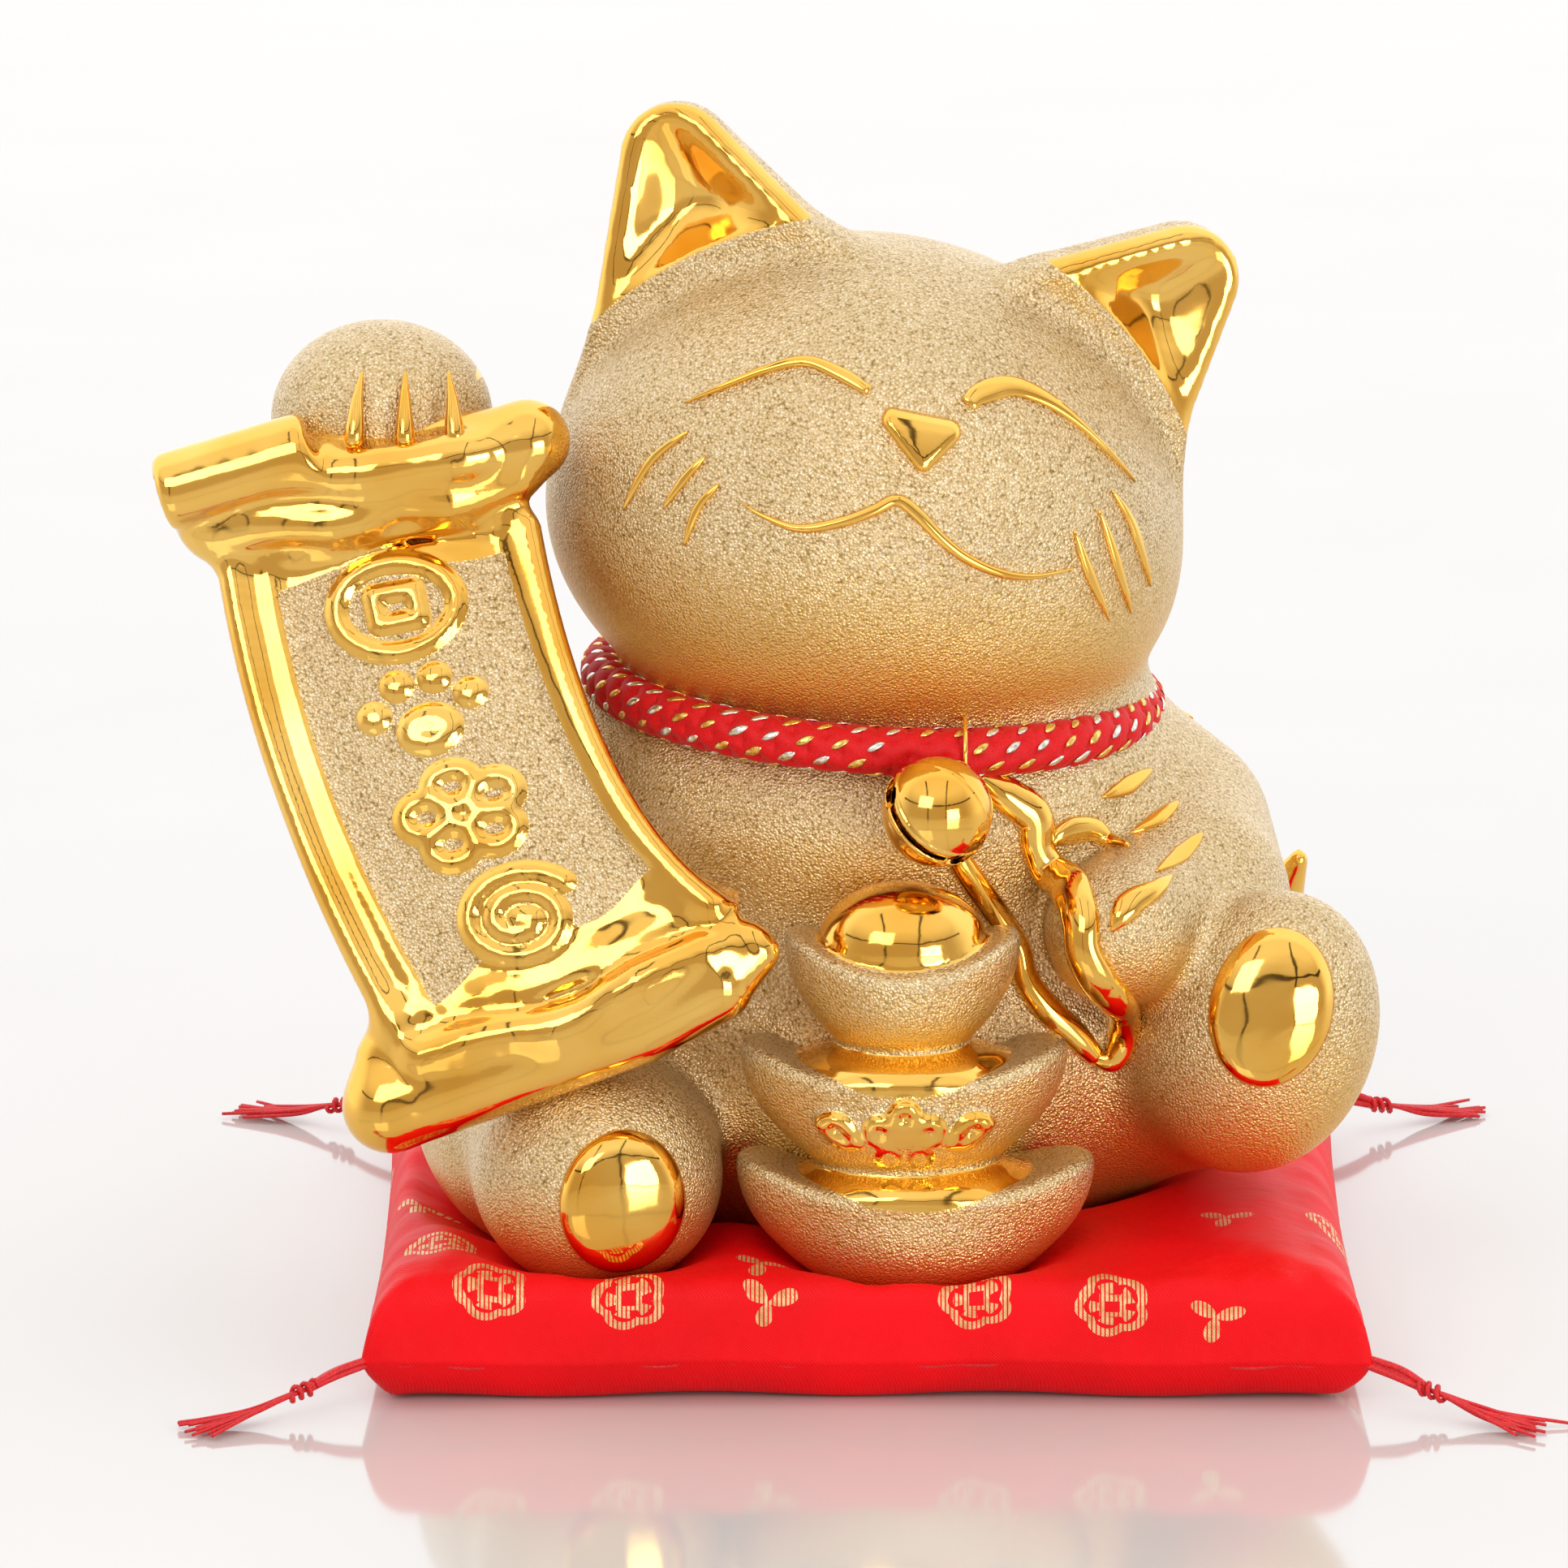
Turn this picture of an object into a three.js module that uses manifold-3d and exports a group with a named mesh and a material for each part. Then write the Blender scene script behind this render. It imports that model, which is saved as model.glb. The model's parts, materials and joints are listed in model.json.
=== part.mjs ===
// Beckoning cat figurine on a brocade cushion. Millimetres, +Z up, the cat faces -Y.
// The origin is the centre of the cushion's underside.
import * as THREE from 'three';
import { mergeVertices } from 'three/addons/utils/BufferGeometryUtils.js';
import Module from 'manifold-3d';

const wasm = await Module();
wasm.setup();

// ---- driving dimensions ----
const GAP = 0.3; // left between neighbouring solids
const SEAT_Z = 9; // height at which the figure sits on the cushion
const WALL = 3.4; // thickness of the cast ceramic
const VENT_RADIUS = 4; // vent hole in the base of the casting
const NECK_HOLE_RADIUS = 11;

const HEAD_CENTRE = [0.7, -3, 95];
const HEAD_RADII = [34.8, 31, 28.8];
const CHEEKS = { place: [0, -1.5, -7], radii: [34.9, 30.5, 22] }; // in the head's own frame
const HEAD_ROLL = 11; // degrees, tipped towards the cat's left
const HEAD_YAW = 6; // degrees, turned towards the cat's left

const CORD_RADIUS = 3;
const CORD_RING = { centre: [0.3, -1, 70.4], radius: 31.2, tilt: 5 };

const BELL_RADIUS = 6.3;
const BELL_WALL = 0.5;
const BELL_EYE_DISTANCE = 7.2; // from the centre of the bell to the centre of its eye
const BELL_POINTS = [-0.45, -0.83, -0.33]; // the way from the eye to the bell, which leans on the chest
const BELL_SLIT_TURN = 45; // degrees between the slit and the plane of the eye
const RING_X = 11.2; // where the jump ring sits on the cord
const RING_RADIUS = 4;
const RING_WIRE = 0.4;
const RING_LINK = [0, -0.87, -0.5]; // the way from the cord to where the eye hangs on the ring

const CUSHION_HALF = 57;
const CUSHION_EDGE_Z = 5; // height of the seam between the two covers
const CUSHION_RIM_Z = 12.4; // top of the puffed rim
const CUSHION_RIM_IN = 5.5; // how far the crest of the rim lies inside the seam
const COVER = 1.1; // thickness of a cushion cover
const TASSEL_LENGTH = 21;

const ROD_TOP = { from: [-76.2, -18, 98], to: [-38.6, -18, 103.6], radius: 5.4 };
const ROD_BOTTOM = { from: [-54.6, -42, 32], to: [-11.5, -45, 50.4], radius: 5.9, tip: 4.2 };

// ---- materials ----
const finish = (color, roughness, metalness) => () =>
  new THREE.MeshStandardMaterial({ color, roughness, metalness });
const mattGold = finish(0xd8b273, 0.55, 0.6);
const brightGold = finish(0xe2a52f, 0.12, 1);
const redCord = finish(0xc00d12, 0.7, 0);
const redBrocade = finish(0xd0101a, 0.5, 0);
const whiteFill = finish(0xf2efe8, 0.9, 0);

// ---- solids ----
function solidOf(geometry, matrix) {
  const bare = geometry.clone();
  for (const name of ['normal', 'uv']) bare.deleteAttribute(name);
  if (matrix) bare.applyMatrix4(matrix);
  const merged = mergeVertices(bare, 1e-4);
  const triVerts = new Uint32Array(merged.index.array);
  const vertProperties = new Float32Array(merged.attributes.position.array);
  return new wasm.Manifold(new wasm.Mesh({ numProp: 3, vertProperties, triVerts }));
}

function geometryOf(solid) {
  const mesh = solid.getMesh();
  const geometry = new THREE.BufferGeometry();
  geometry.setAttribute('position', new THREE.BufferAttribute(mesh.vertProperties, 3));
  geometry.setIndex(new THREE.BufferAttribute(mesh.triVerts, 1));
  geometry.computeVertexNormals();
  return geometry;
}

const vec = (p) => new THREE.Vector3(...p);
const rad = THREE.MathUtils.degToRad;

function matrixOf(place, turn = [0, 0, 0], scale = [1, 1, 1]) {
  const spin = new THREE.Quaternion().setFromEuler(new THREE.Euler(...turn.map(rad)));
  return new THREE.Matrix4().compose(vec(place), spin, vec(scale));
}

// An ellipsoid, described so that it can be grown by the joint gap.
const egg = (centre, radii, turn = [0, 0, 0], sides = 14) => ({
  solid(grow = 0) {
    const ball = new THREE.SphereGeometry(1, sides, Math.round(sides * 0.55));
    return solidOf(ball, matrixOf(centre, turn, radii.map((r) => r + grow)));
  },
  // How far a point lies outside, as a ratio of the radius in its direction.
  ratio(point) {
    const local = vec(point).applyMatrix4(matrixOf(centre, turn).invert());
    return Math.hypot(local.x / radii[0], local.y / radii[1], local.z / radii[2]);
  },
});

// A limb: a tapering capsule between two balls.
function limb(a, radiusA, b, radiusB, sides = 12) {
  const axis = vec(b).sub(vec(a));
  const length = axis.length();
  const spin = new THREE.Quaternion().setFromUnitVectors(new THREE.Vector3(0, 1, 0), axis.normalize());
  const matrix = new THREE.Matrix4().compose(vec(a), spin, new THREE.Vector3(1, 1, 1));
  const steps = 3;
  return {
    solid(grow = 0) {
      const [ra, rb] = [radiusA + grow, radiusB + grow];
      const profile = [new THREE.Vector2(0, -ra)];
      for (let i = 1; i <= steps; i++) {
        const t = (i / steps - 1) * (Math.PI / 2);
        profile.push(new THREE.Vector2(ra * Math.cos(t), ra * Math.sin(t)));
      }
      for (let i = 0; i < steps; i++) {
        const t = (i / steps) * (Math.PI / 2);
        profile.push(new THREE.Vector2(rb * Math.cos(t), length + rb * Math.sin(t)));
      }
      profile.push(new THREE.Vector2(0, length + rb));
      return solidOf(new THREE.LatheGeometry(profile, sides), matrix);
    },
    ratio(point) {
      const p = vec(point);
      const t = THREE.MathUtils.clamp(p.clone().sub(vec(a)).dot(axis) / length, 0, 1);
      const near = vec(a).addScaledVector(axis, t * length);
      return p.distanceTo(near) / (radiusA + (radiusB - radiusA) * t);
    },
  };
}

const joined = (shapes, grow = 0) =>
  shapes.map((shape) => shape.solid(grow)).reduce((whole, next) => whole.add(next));

const without = (solid, others) => others.reduce((left, other) => left.subtract(other), solid);

function box(size, place, turn) {
  return solidOf(new THREE.BoxGeometry(...size), matrixOf(place, turn));
}

function cylinder(radius, length, place, turn = [90, 0, 0], sides = 10) {
  return solidOf(new THREE.CylinderGeometry(radius, radius, length, sides), matrixOf(place, turn));
}

// A strand with round or flattened section along points, thinner at its ends.
function strand(points, radius, sides = 5, steps = 8) {
  const curve = new THREE.CatmullRomCurve3(points.map(vec));
  const section = new THREE.Shape();
  for (let i = 0; i < sides; i++) {
    const t = (i / sides) * Math.PI * 2;
    const at = [radius * Math.cos(t), radius * Math.sin(t)];
    if (i === 0) section.moveTo(...at);
    else section.lineTo(...at);
  }
  section.closePath();
  const tube = new THREE.ExtrudeGeometry(section, { steps, extrudePath: curve, curveSegments: 1 });
  return solidOf(tube);
}

// ---- the bodies of the ceramic, as shapes that can be grown ----
const headFrame = new THREE.Matrix4().compose(
  vec(HEAD_CENTRE),
  new THREE.Quaternion().setFromEuler(new THREE.Euler(0, rad(HEAD_ROLL), rad(HEAD_YAW))),
  new THREE.Vector3(1, 1, 1),
);
const headTurn = [0, HEAD_ROLL, HEAD_YAW];
const onHead = (p) => vec(p).applyMatrix4(headFrame).toArray();

const head = [
  egg(HEAD_CENTRE, HEAD_RADII, headTurn, 20),
  egg(onHead(CHEEKS.place), CHEEKS.radii, headTurn, 20),
];
const torso = [
  egg([0, 3, 32], [45, 39, 30], [0, 0, 0], 18),
  egg([1, 0, 59], [38, 33, 21], [0, 0, 0], 18),
];
const rightArm = [
  limb([-30, -2, 55], 13, [-46, -6, 60], 12),
  limb([-46, -6, 60], 12, [-56, -8, 91], 10.5),
  egg([-55.4, -9, 104.4], [12.7, 12.3, 11.2]),
];
const leftArm = [
  limb([34, 0, 52], 13.5, [36, -14, 48], 13),
  limb([36, -16, 48], 11.5, [29, -31, 49], 9),
];
const rightLeg = [
  limb([-30, -4, 27], 17.5, [-33, -26, 24], 15),
  egg([-33.6, -9, 26], [17, 23, 17]),
  egg([-30.6, -38, 22.4], [14.3, 12.5, 13.6]),
];
const leftLeg = [
  limb([24, -2, 27], 17, [41, -22, 34], 13.5),
  egg([45.6, -29, 36.6], [12.9, 10.5, 16.6], [0, 15, 0]),
];
const tail = [
  limb([25, 36, 17], 7.5, [43, 31, 27], 6.8),
  limb([43, 31, 27], 6.8, [51, 19, 42], 5),
];

// The front of the body at a place seen from -Y, raised by lift along the surface normal.
const frontShapes = [...torso, ...leftArm, ...leftLeg, ...rightLeg];
function frontAt(shapes, x, z, lift, from = -60) {
  const outside = (px, py, pz) => Math.min(...shapes.map((shape) => shape.ratio([px, py, pz]))) - 1;
  let [low, high] = [from, from];
  while (outside(x, high, z) > 0 && high < 60) high += 1;
  low = high - 1;
  for (let i = 0; i < 20; i++) {
    const mid = (low + high) / 2;
    if (outside(x, mid, z) > 0) low = mid;
    else high = mid;
  }
  const e = 0.2;
  const normal = new THREE.Vector3(
    outside(x + e, low, z) - outside(x - e, low, z),
    outside(x, low + e, z) - outside(x, low - e, z),
    outside(x, low, z + e) - outside(x, low, z - e),
  ).normalize();
  return new THREE.Vector3(x, low, z).addScaledVector(normal, lift).toArray();
}
const onBody = (x, z, lift = 1.1) => frontAt(frontShapes, x, z, lift);

// ---- the assembly ----
const cat = new THREE.Group();

function add(name, solid, material, parent = cat) {
  const mesh = new THREE.Mesh(geometryOf(solid), material());
  mesh.name = name;
  parent.add(mesh);
  return mesh;
}

// Everything of the figure stays above the cushion's seat.
const below = box([200, 200, 60], [0, 0, SEAT_Z - 30]);

const cordRing = (grow) => {
  const ring = new THREE.TorusGeometry(CORD_RING.radius, CORD_RADIUS + grow, 6, 26);
  return solidOf(ring, matrixOf(CORD_RING.centre, [0, CORD_RING.tilt, 0]));
};
const cordRoom = cordRing(GAP);

// The jump ring round the cord, in a notch of the ceramic behind the cord.
const ringX = RING_X - CORD_RING.centre[0];
const ringCentre = [
  RING_X,
  CORD_RING.centre[1] - Math.sqrt(CORD_RING.radius ** 2 - ringX ** 2),
  CORD_RING.centre[2] - Math.sin(rad(CORD_RING.tilt)) * ringX,
];
const ringRoom = cylinder(RING_RADIUS + RING_WIRE + GAP, 1.6, ringCentre, [0, 0, 90], 10);
const grown = {
  head: joined(head, GAP),
  torso: joined(torso, GAP),
  rightArm: joined(rightArm, GAP),
  rightLeg: joined(rightLeg, GAP),
  leftLeg: joined(leftLeg, GAP),
  leftArm: joined(leftArm, GAP),
};

// Head: a hollow shell, open at the neck.
const neckHole = cylinder(NECK_HOLE_RADIUS, 44, [0.5, -1, 72]);
const headHollow = egg(HEAD_CENTRE, HEAD_RADII.map((r) => r - WALL), headTurn, 10).solid();
add('head_shell', without(joined(head), [headHollow, neckHole, cordRoom, ringRoom]), mattGold);

// Torso: a hollow shell with the same neck opening and a vent hole in its base.
const torsoHollow = joined([
  egg([0, 3, 34], [45 - WALL, 39 - WALL, 27 - WALL], [0, 0, 0], 10),
  egg([1, 0, 57], [38 - WALL, 33 - WALL, 19 - WALL], [0, 0, 0], 10),
]);
const vent = cylinder(VENT_RADIUS, 20, [0, 4, SEAT_Z]);
const torsoCuts = [below, cordRoom, ringRoom, torsoHollow, vent, neckHole, grown.head];
add('torso_shell', without(joined(torso), torsoCuts), mattGold);

// Limbs.
add('left_leg', without(joined(leftLeg), [grown.torso, below]), mattGold);
add('right_leg', without(joined(rightLeg), [grown.torso, below]), mattGold);
add('left_arm', without(joined(leftArm), [grown.torso, grown.leftLeg, grown.head, cordRoom]), mattGold);
add('tail', without(joined(tail), [grown.torso, grown.leftArm, below]), mattGold);

// Ears: an outer cup and a polished lining, mirrored left and right in the head's own frame.
function earOutline(width, height, lean) {
  const half = width / 2;
  const outline = new THREE.Shape();
  outline.moveTo(-half, -6);
  outline.quadraticCurveTo(-half - 1.5, height * 0.62, lean - 2.4, height - 2);
  outline.quadraticCurveTo(lean, height, lean + 2.4, height - 1.6);
  outline.quadraticCurveTo(half + 0.5, height * 0.5, half, -6);
  outline.closePath();
  return outline;
}
for (const [side, name] of [[-1, 'right'], [1, 'left']]) {
  const middle = onHead([side * 23.4, -2, 21.6]);
  const place = new THREE.Matrix4()
    .makeTranslation(...middle)
    .multiply(new THREE.Matrix4().makeRotationY(rad(HEAD_ROLL + side * 35)))
    .multiply(matrixOf([0, 0, 0], [90, 0, 0]));
  const options = { depth: 7, bevelThickness: 1.6, bevelSize: 1.4, bevelSegments: 1, curveSegments: 4 };
  const cup = new THREE.ExtrudeGeometry(earOutline(22, 21.5, side * 3), options);
  cup.translate(0, 0, -3.5);
  const hollow = new THREE.SphereGeometry(1, 12, 8);
  hollow.scale(9.4, 15.5, 5.4);
  hollow.translate(side * 1, 3.6, 4.6);
  const lining = new THREE.SphereGeometry(1, 12, 8);
  lining.scale(9.4 - GAP, 15.5 - GAP, 5.4 - GAP);
  lining.translate(side * 1, 3.6, 4.6);
  const inner = new THREE.SphereGeometry(1, 12, 8);
  inner.scale(8.2, 14.3, 3.9);
  inner.translate(side * 1, 3.6, 5);
  const front = box([80, 80, 20], [0, 0, 14.6]);
  const bare = without(solidOf(cup), [solidOf(hollow)]).transform(place.elements);
  const skin = without(solidOf(lining), [solidOf(inner), front]);
  const within = solidOf(cup).transform(place.elements);
  add(`${name}_ear`, without(bare, [grown.head]), mattGold);
  const shell = skin.transform(place.elements).intersect(within);
  add(`${name}_ear_lining`, without(shell, [grown.head]), brightGold);
}

// Raised arm, cut clear of the scroll's rods and sheet further down.
function rod(spec, grow = 0) {
  return limb(spec.from, spec.radius, spec.to, spec.tip ?? spec.radius, 16).solid(grow);
}
const sheetRow = (v) => {
  const left = [-72.2 + 18.5 * v - 3 * v * (1 - v), 88.9 - 50 * v];
  const right = [-38.4 + 17 * v ** 1.6, 93.9 - 38.5 * v];
  return { left, right, y: -18.5 - 23 * v };
};
// The sheet of the scroll: a bent slab, u across and v down, raised from its middle by w.
function scrollSlab(u0, u1, v0, v1, w0, w1, cols, rows) {
  const slab = new THREE.BoxGeometry(1, 1, 1, cols, 1, rows);
  const at = slab.attributes.position;
  for (let i = 0; i < at.count; i++) {
    const u = u0 + (u1 - u0) * (at.getX(i) + 0.5);
    const v = v0 + (v1 - v0) * (0.5 - at.getZ(i));
    const w = w0 + (w1 - w0) * (0.5 - at.getY(i));
    const row = sheetRow(v);
    const x = row.left[0] + (row.right[0] - row.left[0]) * u;
    const z = row.left[1] + (row.right[1] - row.left[1]) * u;
    at.setXYZ(i, x, row.y - w, z);
  }
  return solidOf(slab);
}
const rodTopRoom = rod(ROD_TOP, GAP);
const rodBottomRoom = rod(ROD_BOTTOM, GAP);
const sheetRoom = scrollSlab(-0.02, 1.02, 0, 1, -3 - GAP, 3, 4, 8);
const armCuts = [grown.torso, grown.head, cordRoom, rodTopRoom, rodBottomRoom, sheetRoom, grown.rightLeg];
add('right_arm', without(joined(rightArm), armCuts), mattGold);

// Scroll.
const bodyCuts = [grown.torso, grown.rightLeg, grown.rightArm];
const armOnly = joined([rightArm[2]], GAP);
add('scroll_top_rod', rod(ROD_TOP), brightGold);
add('scroll_bottom_rod', without(rod(ROD_BOTTOM), [grown.torso, grown.rightLeg]), brightGold);
const SHEET_FRONT = 1.2;
const sheet = scrollSlab(0, 1, 0, 0.98, -3, SHEET_FRONT, 4, 8);
const sheetFrontRoom = scrollSlab(0, 1, 0, 1, -3, SHEET_FRONT + GAP, 4, 8);
add('scroll_sheet', without(sheet, [rodTopRoom, rodBottomRoom, grown.torso, grown.rightLeg]), mattGold);
for (const [name, u] of [['scroll_edge_right', 0], ['scroll_edge_left', 0.93]]) {
  const rail = scrollSlab(u, u + 0.07, 0.02, 0.97, SHEET_FRONT + GAP, 3, 1, 8);
  add(name, without(rail, [rodTopRoom, rodBottomRoom]), brightGold);
}
for (let i = 0; i < 4; i++) {
  const row = sheetRow(0.13 + 0.245 * i);
  const middle = [(row.left[0] + row.right[0]) / 2, row.y, (row.left[1] + row.right[1]) / 2];
  const coin = [[2.6, 0], [5.4, 0], [5.4, 1.2], [2.6, 1.2], [2.6, 0]].map((p) => new THREE.Vector2(...p));
  const facing = matrixOf([middle[0], row.y - SHEET_FRONT - 0.5, middle[2]], [180 - 27, 0, 0]);
  const ring = solidOf(new THREE.LatheGeometry(coin, 10), facing);
  add(`scroll_ornament_${i + 1}`, without(ring, [rodTopRoom, rodBottomRoom, sheetFrontRoom]), brightGold);
}

// Claws of the raised paw, curled over the top rod.
for (let i = 0; i < 3; i++) {
  const x = -57.8 + 5.4 * i;
  const path = [[x, -21.6, 111.2], [x + 0.2, -24, 108.2], [x + 0.4, -24.8, 104.6]];
  add(`raised_claw_${i + 1}`, without(strand(path, 0.7), [armOnly, rodTopRoom]), brightGold);
}

// Ingots stacked against the belly, each a boat with a polished dome in it.
const ingots = [
  { name: 'bottom', x: 5.6, y: -41.1, z: 24, half: 20.4, deep: 10.5, tall: 15.2 },
  { name: 'middle', x: 4.3, y: -39.4, z: 37.4, half: 18.6, deep: 10.5, tall: 14.6 },
  { name: 'top', x: 4.1, y: -38.5, z: 50.2, half: 13.4, deep: 9.6, tall: 13.2 },
];
const boats = ingots.map(({ x, y, z, half, deep, tall }) => {
  const hull = (grow) => {
    const whole = egg([x, y, z], [half + grow, deep + grow, tall + grow]).solid();
    return whole.subtract(box([90, 90, 40], [x, y, z + 20 + grow]));
  };
  const scoop = egg([x, y, z + 4], [half * 0.92, deep * 1.6, 7.2]).solid();
  const dome = (grow) => {
    const radii = [half * 0.64 + grow, deep * 0.72 + grow, 6 + grow];
    return egg([x, y, z - 1.5], radii, [0, 0, 0], 10).solid();
  };
  return { hull, scoop, dome };
});
boats.forEach(({ hull, scoop, dome }, i) => {
  const { name } = ingots[i];
  const above = boats[i + 1] ? [boats[i + 1].hull(GAP)] : [];
  const ends = [...bodyCuts, grown.leftLeg, below];
  add(`${name}_ingot`, without(hull(0), [scoop, dome(GAP), ...above, ...ends]), mattGold);
  add(`${name}_ingot_dome`, without(dome(0), [...above, ...ends]), brightGold);
});
const disc = cylinder(5.8, 1.6, [4.3, -51, 30.4], [0, 0, 0], 14);
const discRoom = boats.slice(0, 2).map((boat) => boat.hull(GAP));
add('ingot_ornament', without(disc, discRoom), brightGold);

// Pads on the soles.
const rightPad = egg([-27.8, -49.4, 21.6], [7.3, 3.4, 8.7], [0, 0, 0], 10);
add('right_foot_pad', without(rightPad.solid(), [grown.rightLeg]), brightGold);
const leftPad = egg([46, -38.4, 41.2], [7.2, 3.4, 9.1], [0, 15, 0], 10);
add('left_foot_pad', without(leftPad.solid(), [grown.leftLeg]), brightGold);

// Relief on the face, set out in the head's frame as x and z seen from the front.
function faceStrand(points, radius, steps) {
  const lifted = points.map(([x, z]) => {
    const face = [egg([0, 0, 0], HEAD_RADII), egg(CHEEKS.place, CHEEKS.radii)];
    return onHead(frontAt(face, x, z, radius + GAP + 0.1));
  });
  return without(strand(lifted, radius, 5, steps), [grown.head]);
}
const EYE = [[26.5, 9.5], [20.5, 15], [13.5, 18], [8.6, 17.6], [5.4, 15.6]];
const MOUTH = [[-18.2, 0.6], [-14, -0.8], [-9.4, -0.5], [-3.7, 2.5], [0.3, 4.8], [3.8, 2.5], [7.6, -0.6],
  [12, -2.9], [16.4, -2.8], [20.4, -1.6]];
// Each whisker from its upper end to its lower end, on the cat's right and on its left.
const WHISKERS = {
  right: [[-24.6, 7.2, -30.4, -5], [-22.5, 5.1, -27.2, -6.1], [-20.8, 1.9, -23.2, -11]],
  left: [[25, 8.2, 31.6, -4.6], [23.8, 6, 29.6, -7.2], [22, 3.4, 27.4, -9.4]],
};
for (const [side, name] of [[-1, 'right'], [1, 'left']]) {
  add(`${name}_eye_line`, faceStrand(EYE.map(([x, z]) => [side * x, z]), 0.6, 10), brightGold);
  WHISKERS[name].forEach(([x0, z0, x1, z1], i) => {
    const path = [[x0, z0], [(x0 + x1) / 2 + side * 0.4, (z0 + z1) / 2], [x1, z1]];
    add(`${name}_whisker_${i + 1}`, faceStrand(path, 0.5, 4), brightGold);
  });
}
add('mouth', faceStrand(MOUTH, 0.6, 20), brightGold);
const noseShape = new THREE.Shape([[-4.4, 2.9], [4.4, 2.6], [0.7, -2.9]].map((p) => new THREE.Vector2(...p)));
const noseOptions = { depth: 1.6, bevelThickness: 0.5, bevelSize: 0.4, bevelSegments: 1 };
const nosePlace = new THREE.Matrix4()
  .multiply(headFrame)
  .multiply(matrixOf([0, -27.2, 11.6], [90 - 22, 0, 0]));
const nose = solidOf(new THREE.ExtrudeGeometry(noseShape, noseOptions), nosePlace);
add('nose', without(nose, [grown.head]), brightGold);

// Relief on the body.
const skinRoom = [grown.torso, grown.leftArm, grown.leftLeg];
function bodyStrand(points, radius, steps) {
  const lifted = points.map(([x, z]) => onBody(x, z, radius + GAP + 0.2));
  return without(strand(lifted, radius, 5, steps), skinRoom);
}
const RIBBON_DOWN = [[14.5, 62], [18, 60.5], [19.2, 56], [23.4, 52], [25, 47], [26, 42.5], [29.4, 39],
  [30, 34]];
const RIBBON_UP = [[30, 34], [27.6, 31.8], [25.4, 32.6], [22.6, 35.6], [19.6, 40.4], [17.8, 46], [14.6, 50.4],
  [11.8, 54]];
const boatRoom = boats.map((boat) => boat.hull(GAP));
const ribbon = bodyStrand(RIBBON_DOWN, 1.3, 18).add(bodyStrand(RIBBON_UP, 0.9, 16));
add('belly_ribbon', without(ribbon, boatRoom), brightGold);
const PAW = [[[21.5, 55.8], [25, 57], [28.4, 56]], [[28.6, 47.8], [31.2, 50], [33.6, 51]]];
PAW.forEach((path, i) => add(`lowered_claw_${i + 1}`, bodyStrand(path, 0.9, 5), brightGold));
for (let i = 0; i < 3; i++) {
  const path = [[27.6 + 2.6 * i, 60.4 - 3.4 * i], [30.4 + 2.4 * i, 62.6 - 3 * i], [33 + 2.2 * i, 64 - 3 * i]];
  add(`fur_stroke_${i + 1}`, without(bodyStrand(path, 0.5, 4), [cordRoom]), brightGold);
}

// Neck cord, held all the way round the neck, with its knot behind.
const knotPlace = [0, CORD_RING.centre[1] + CORD_RING.radius + 3, 70.4];
const knot = egg(knotPlace, [5, 3.4, 4], [0, 0, 0], 14);
const tiedCord = cordRing(0).add(knot.solid());
add('neck_cord', without(tiedCord, [grown.head, grown.torso]), redCord);

// Bell: it hangs by its eye from a jump ring round the cord.
const jumpRing = new THREE.TorusGeometry(RING_RADIUS, RING_WIRE, 5, 16);
add('bell_jump_ring', solidOf(jumpRing, matrixOf(ringCentre, [0, 90, 0])), brightGold);

const link = vec(ringCentre).addScaledVector(vec(RING_LINK).normalize(), RING_RADIUS);
const bellUp = vec(BELL_POINTS).normalize().negate();
const eyeAxis = new THREE.Vector3(RING_LINK[0], RING_LINK[2], -RING_LINK[1]);
eyeAxis.addScaledVector(bellUp, -eyeAxis.dot(bellUp)).normalize();
const bellFrame = new THREE.Matrix4()
  .makeBasis(eyeAxis.clone().cross(bellUp), eyeAxis, bellUp)
  .setPosition(link.clone().addScaledVector(bellUp, -BELL_EYE_DISTANCE));
function bellHalf(sign) {
  const steps = 4;
  const profile = [];
  const lift = GAP / 2;
  for (let i = 0; i <= steps; i++) {
    const t = (i / steps) * (Math.PI / 2);
    profile.push(new THREE.Vector2(BELL_RADIUS * Math.cos(t), lift + (BELL_RADIUS - lift) * Math.sin(t)));
  }
  for (let i = steps; i >= 0; i--) {
    const t = (i / steps) * (Math.PI / 2);
    const inner = BELL_RADIUS - BELL_WALL;
    profile.push(new THREE.Vector2(inner * Math.cos(t), lift + (inner - lift) * Math.sin(t)));
  }
  profile.push(profile[0].clone());
  const turn = [sign * 90, 0, 0];
  return solidOf(new THREE.LatheGeometry(profile, 14), matrixOf([0, 0, 0], turn));
}
const eye = solidOf(
  new THREE.TorusGeometry(1.15, 0.32, 5, 10),
  matrixOf([0, 0, BELL_EYE_DISTANCE], [90, 0, 0]),
);
const slit = box([0.9, 12.4, 8], [0, 0, -BELL_RADIUS], [0, 0, BELL_SLIT_TURN]);
const slitEnds = [-1, 1].map((side) => {
  const [x, y] = [-Math.sin(rad(BELL_SLIT_TURN)) * side * 4.9, Math.cos(rad(BELL_SLIT_TURN)) * side * 4.9];
  return cylinder(1.1, 8, [x, y, -4.4], [90, 0, 0], 10);
});
add('bell_upper_shell', bellHalf(1).add(eye).transform(bellFrame.elements), brightGold);
add('bell_lower_shell', without(bellHalf(-1), [slit, ...slitEnds]).transform(bellFrame.elements), brightGold);
const pelletAt = new THREE.Vector3(0, 0, 0).applyMatrix4(bellFrame);
add('bell_pellet', egg(pelletAt.toArray(), [1.9, 1.9, 1.9], [0, 0, 0], 8).solid(), brightGold);

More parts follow.
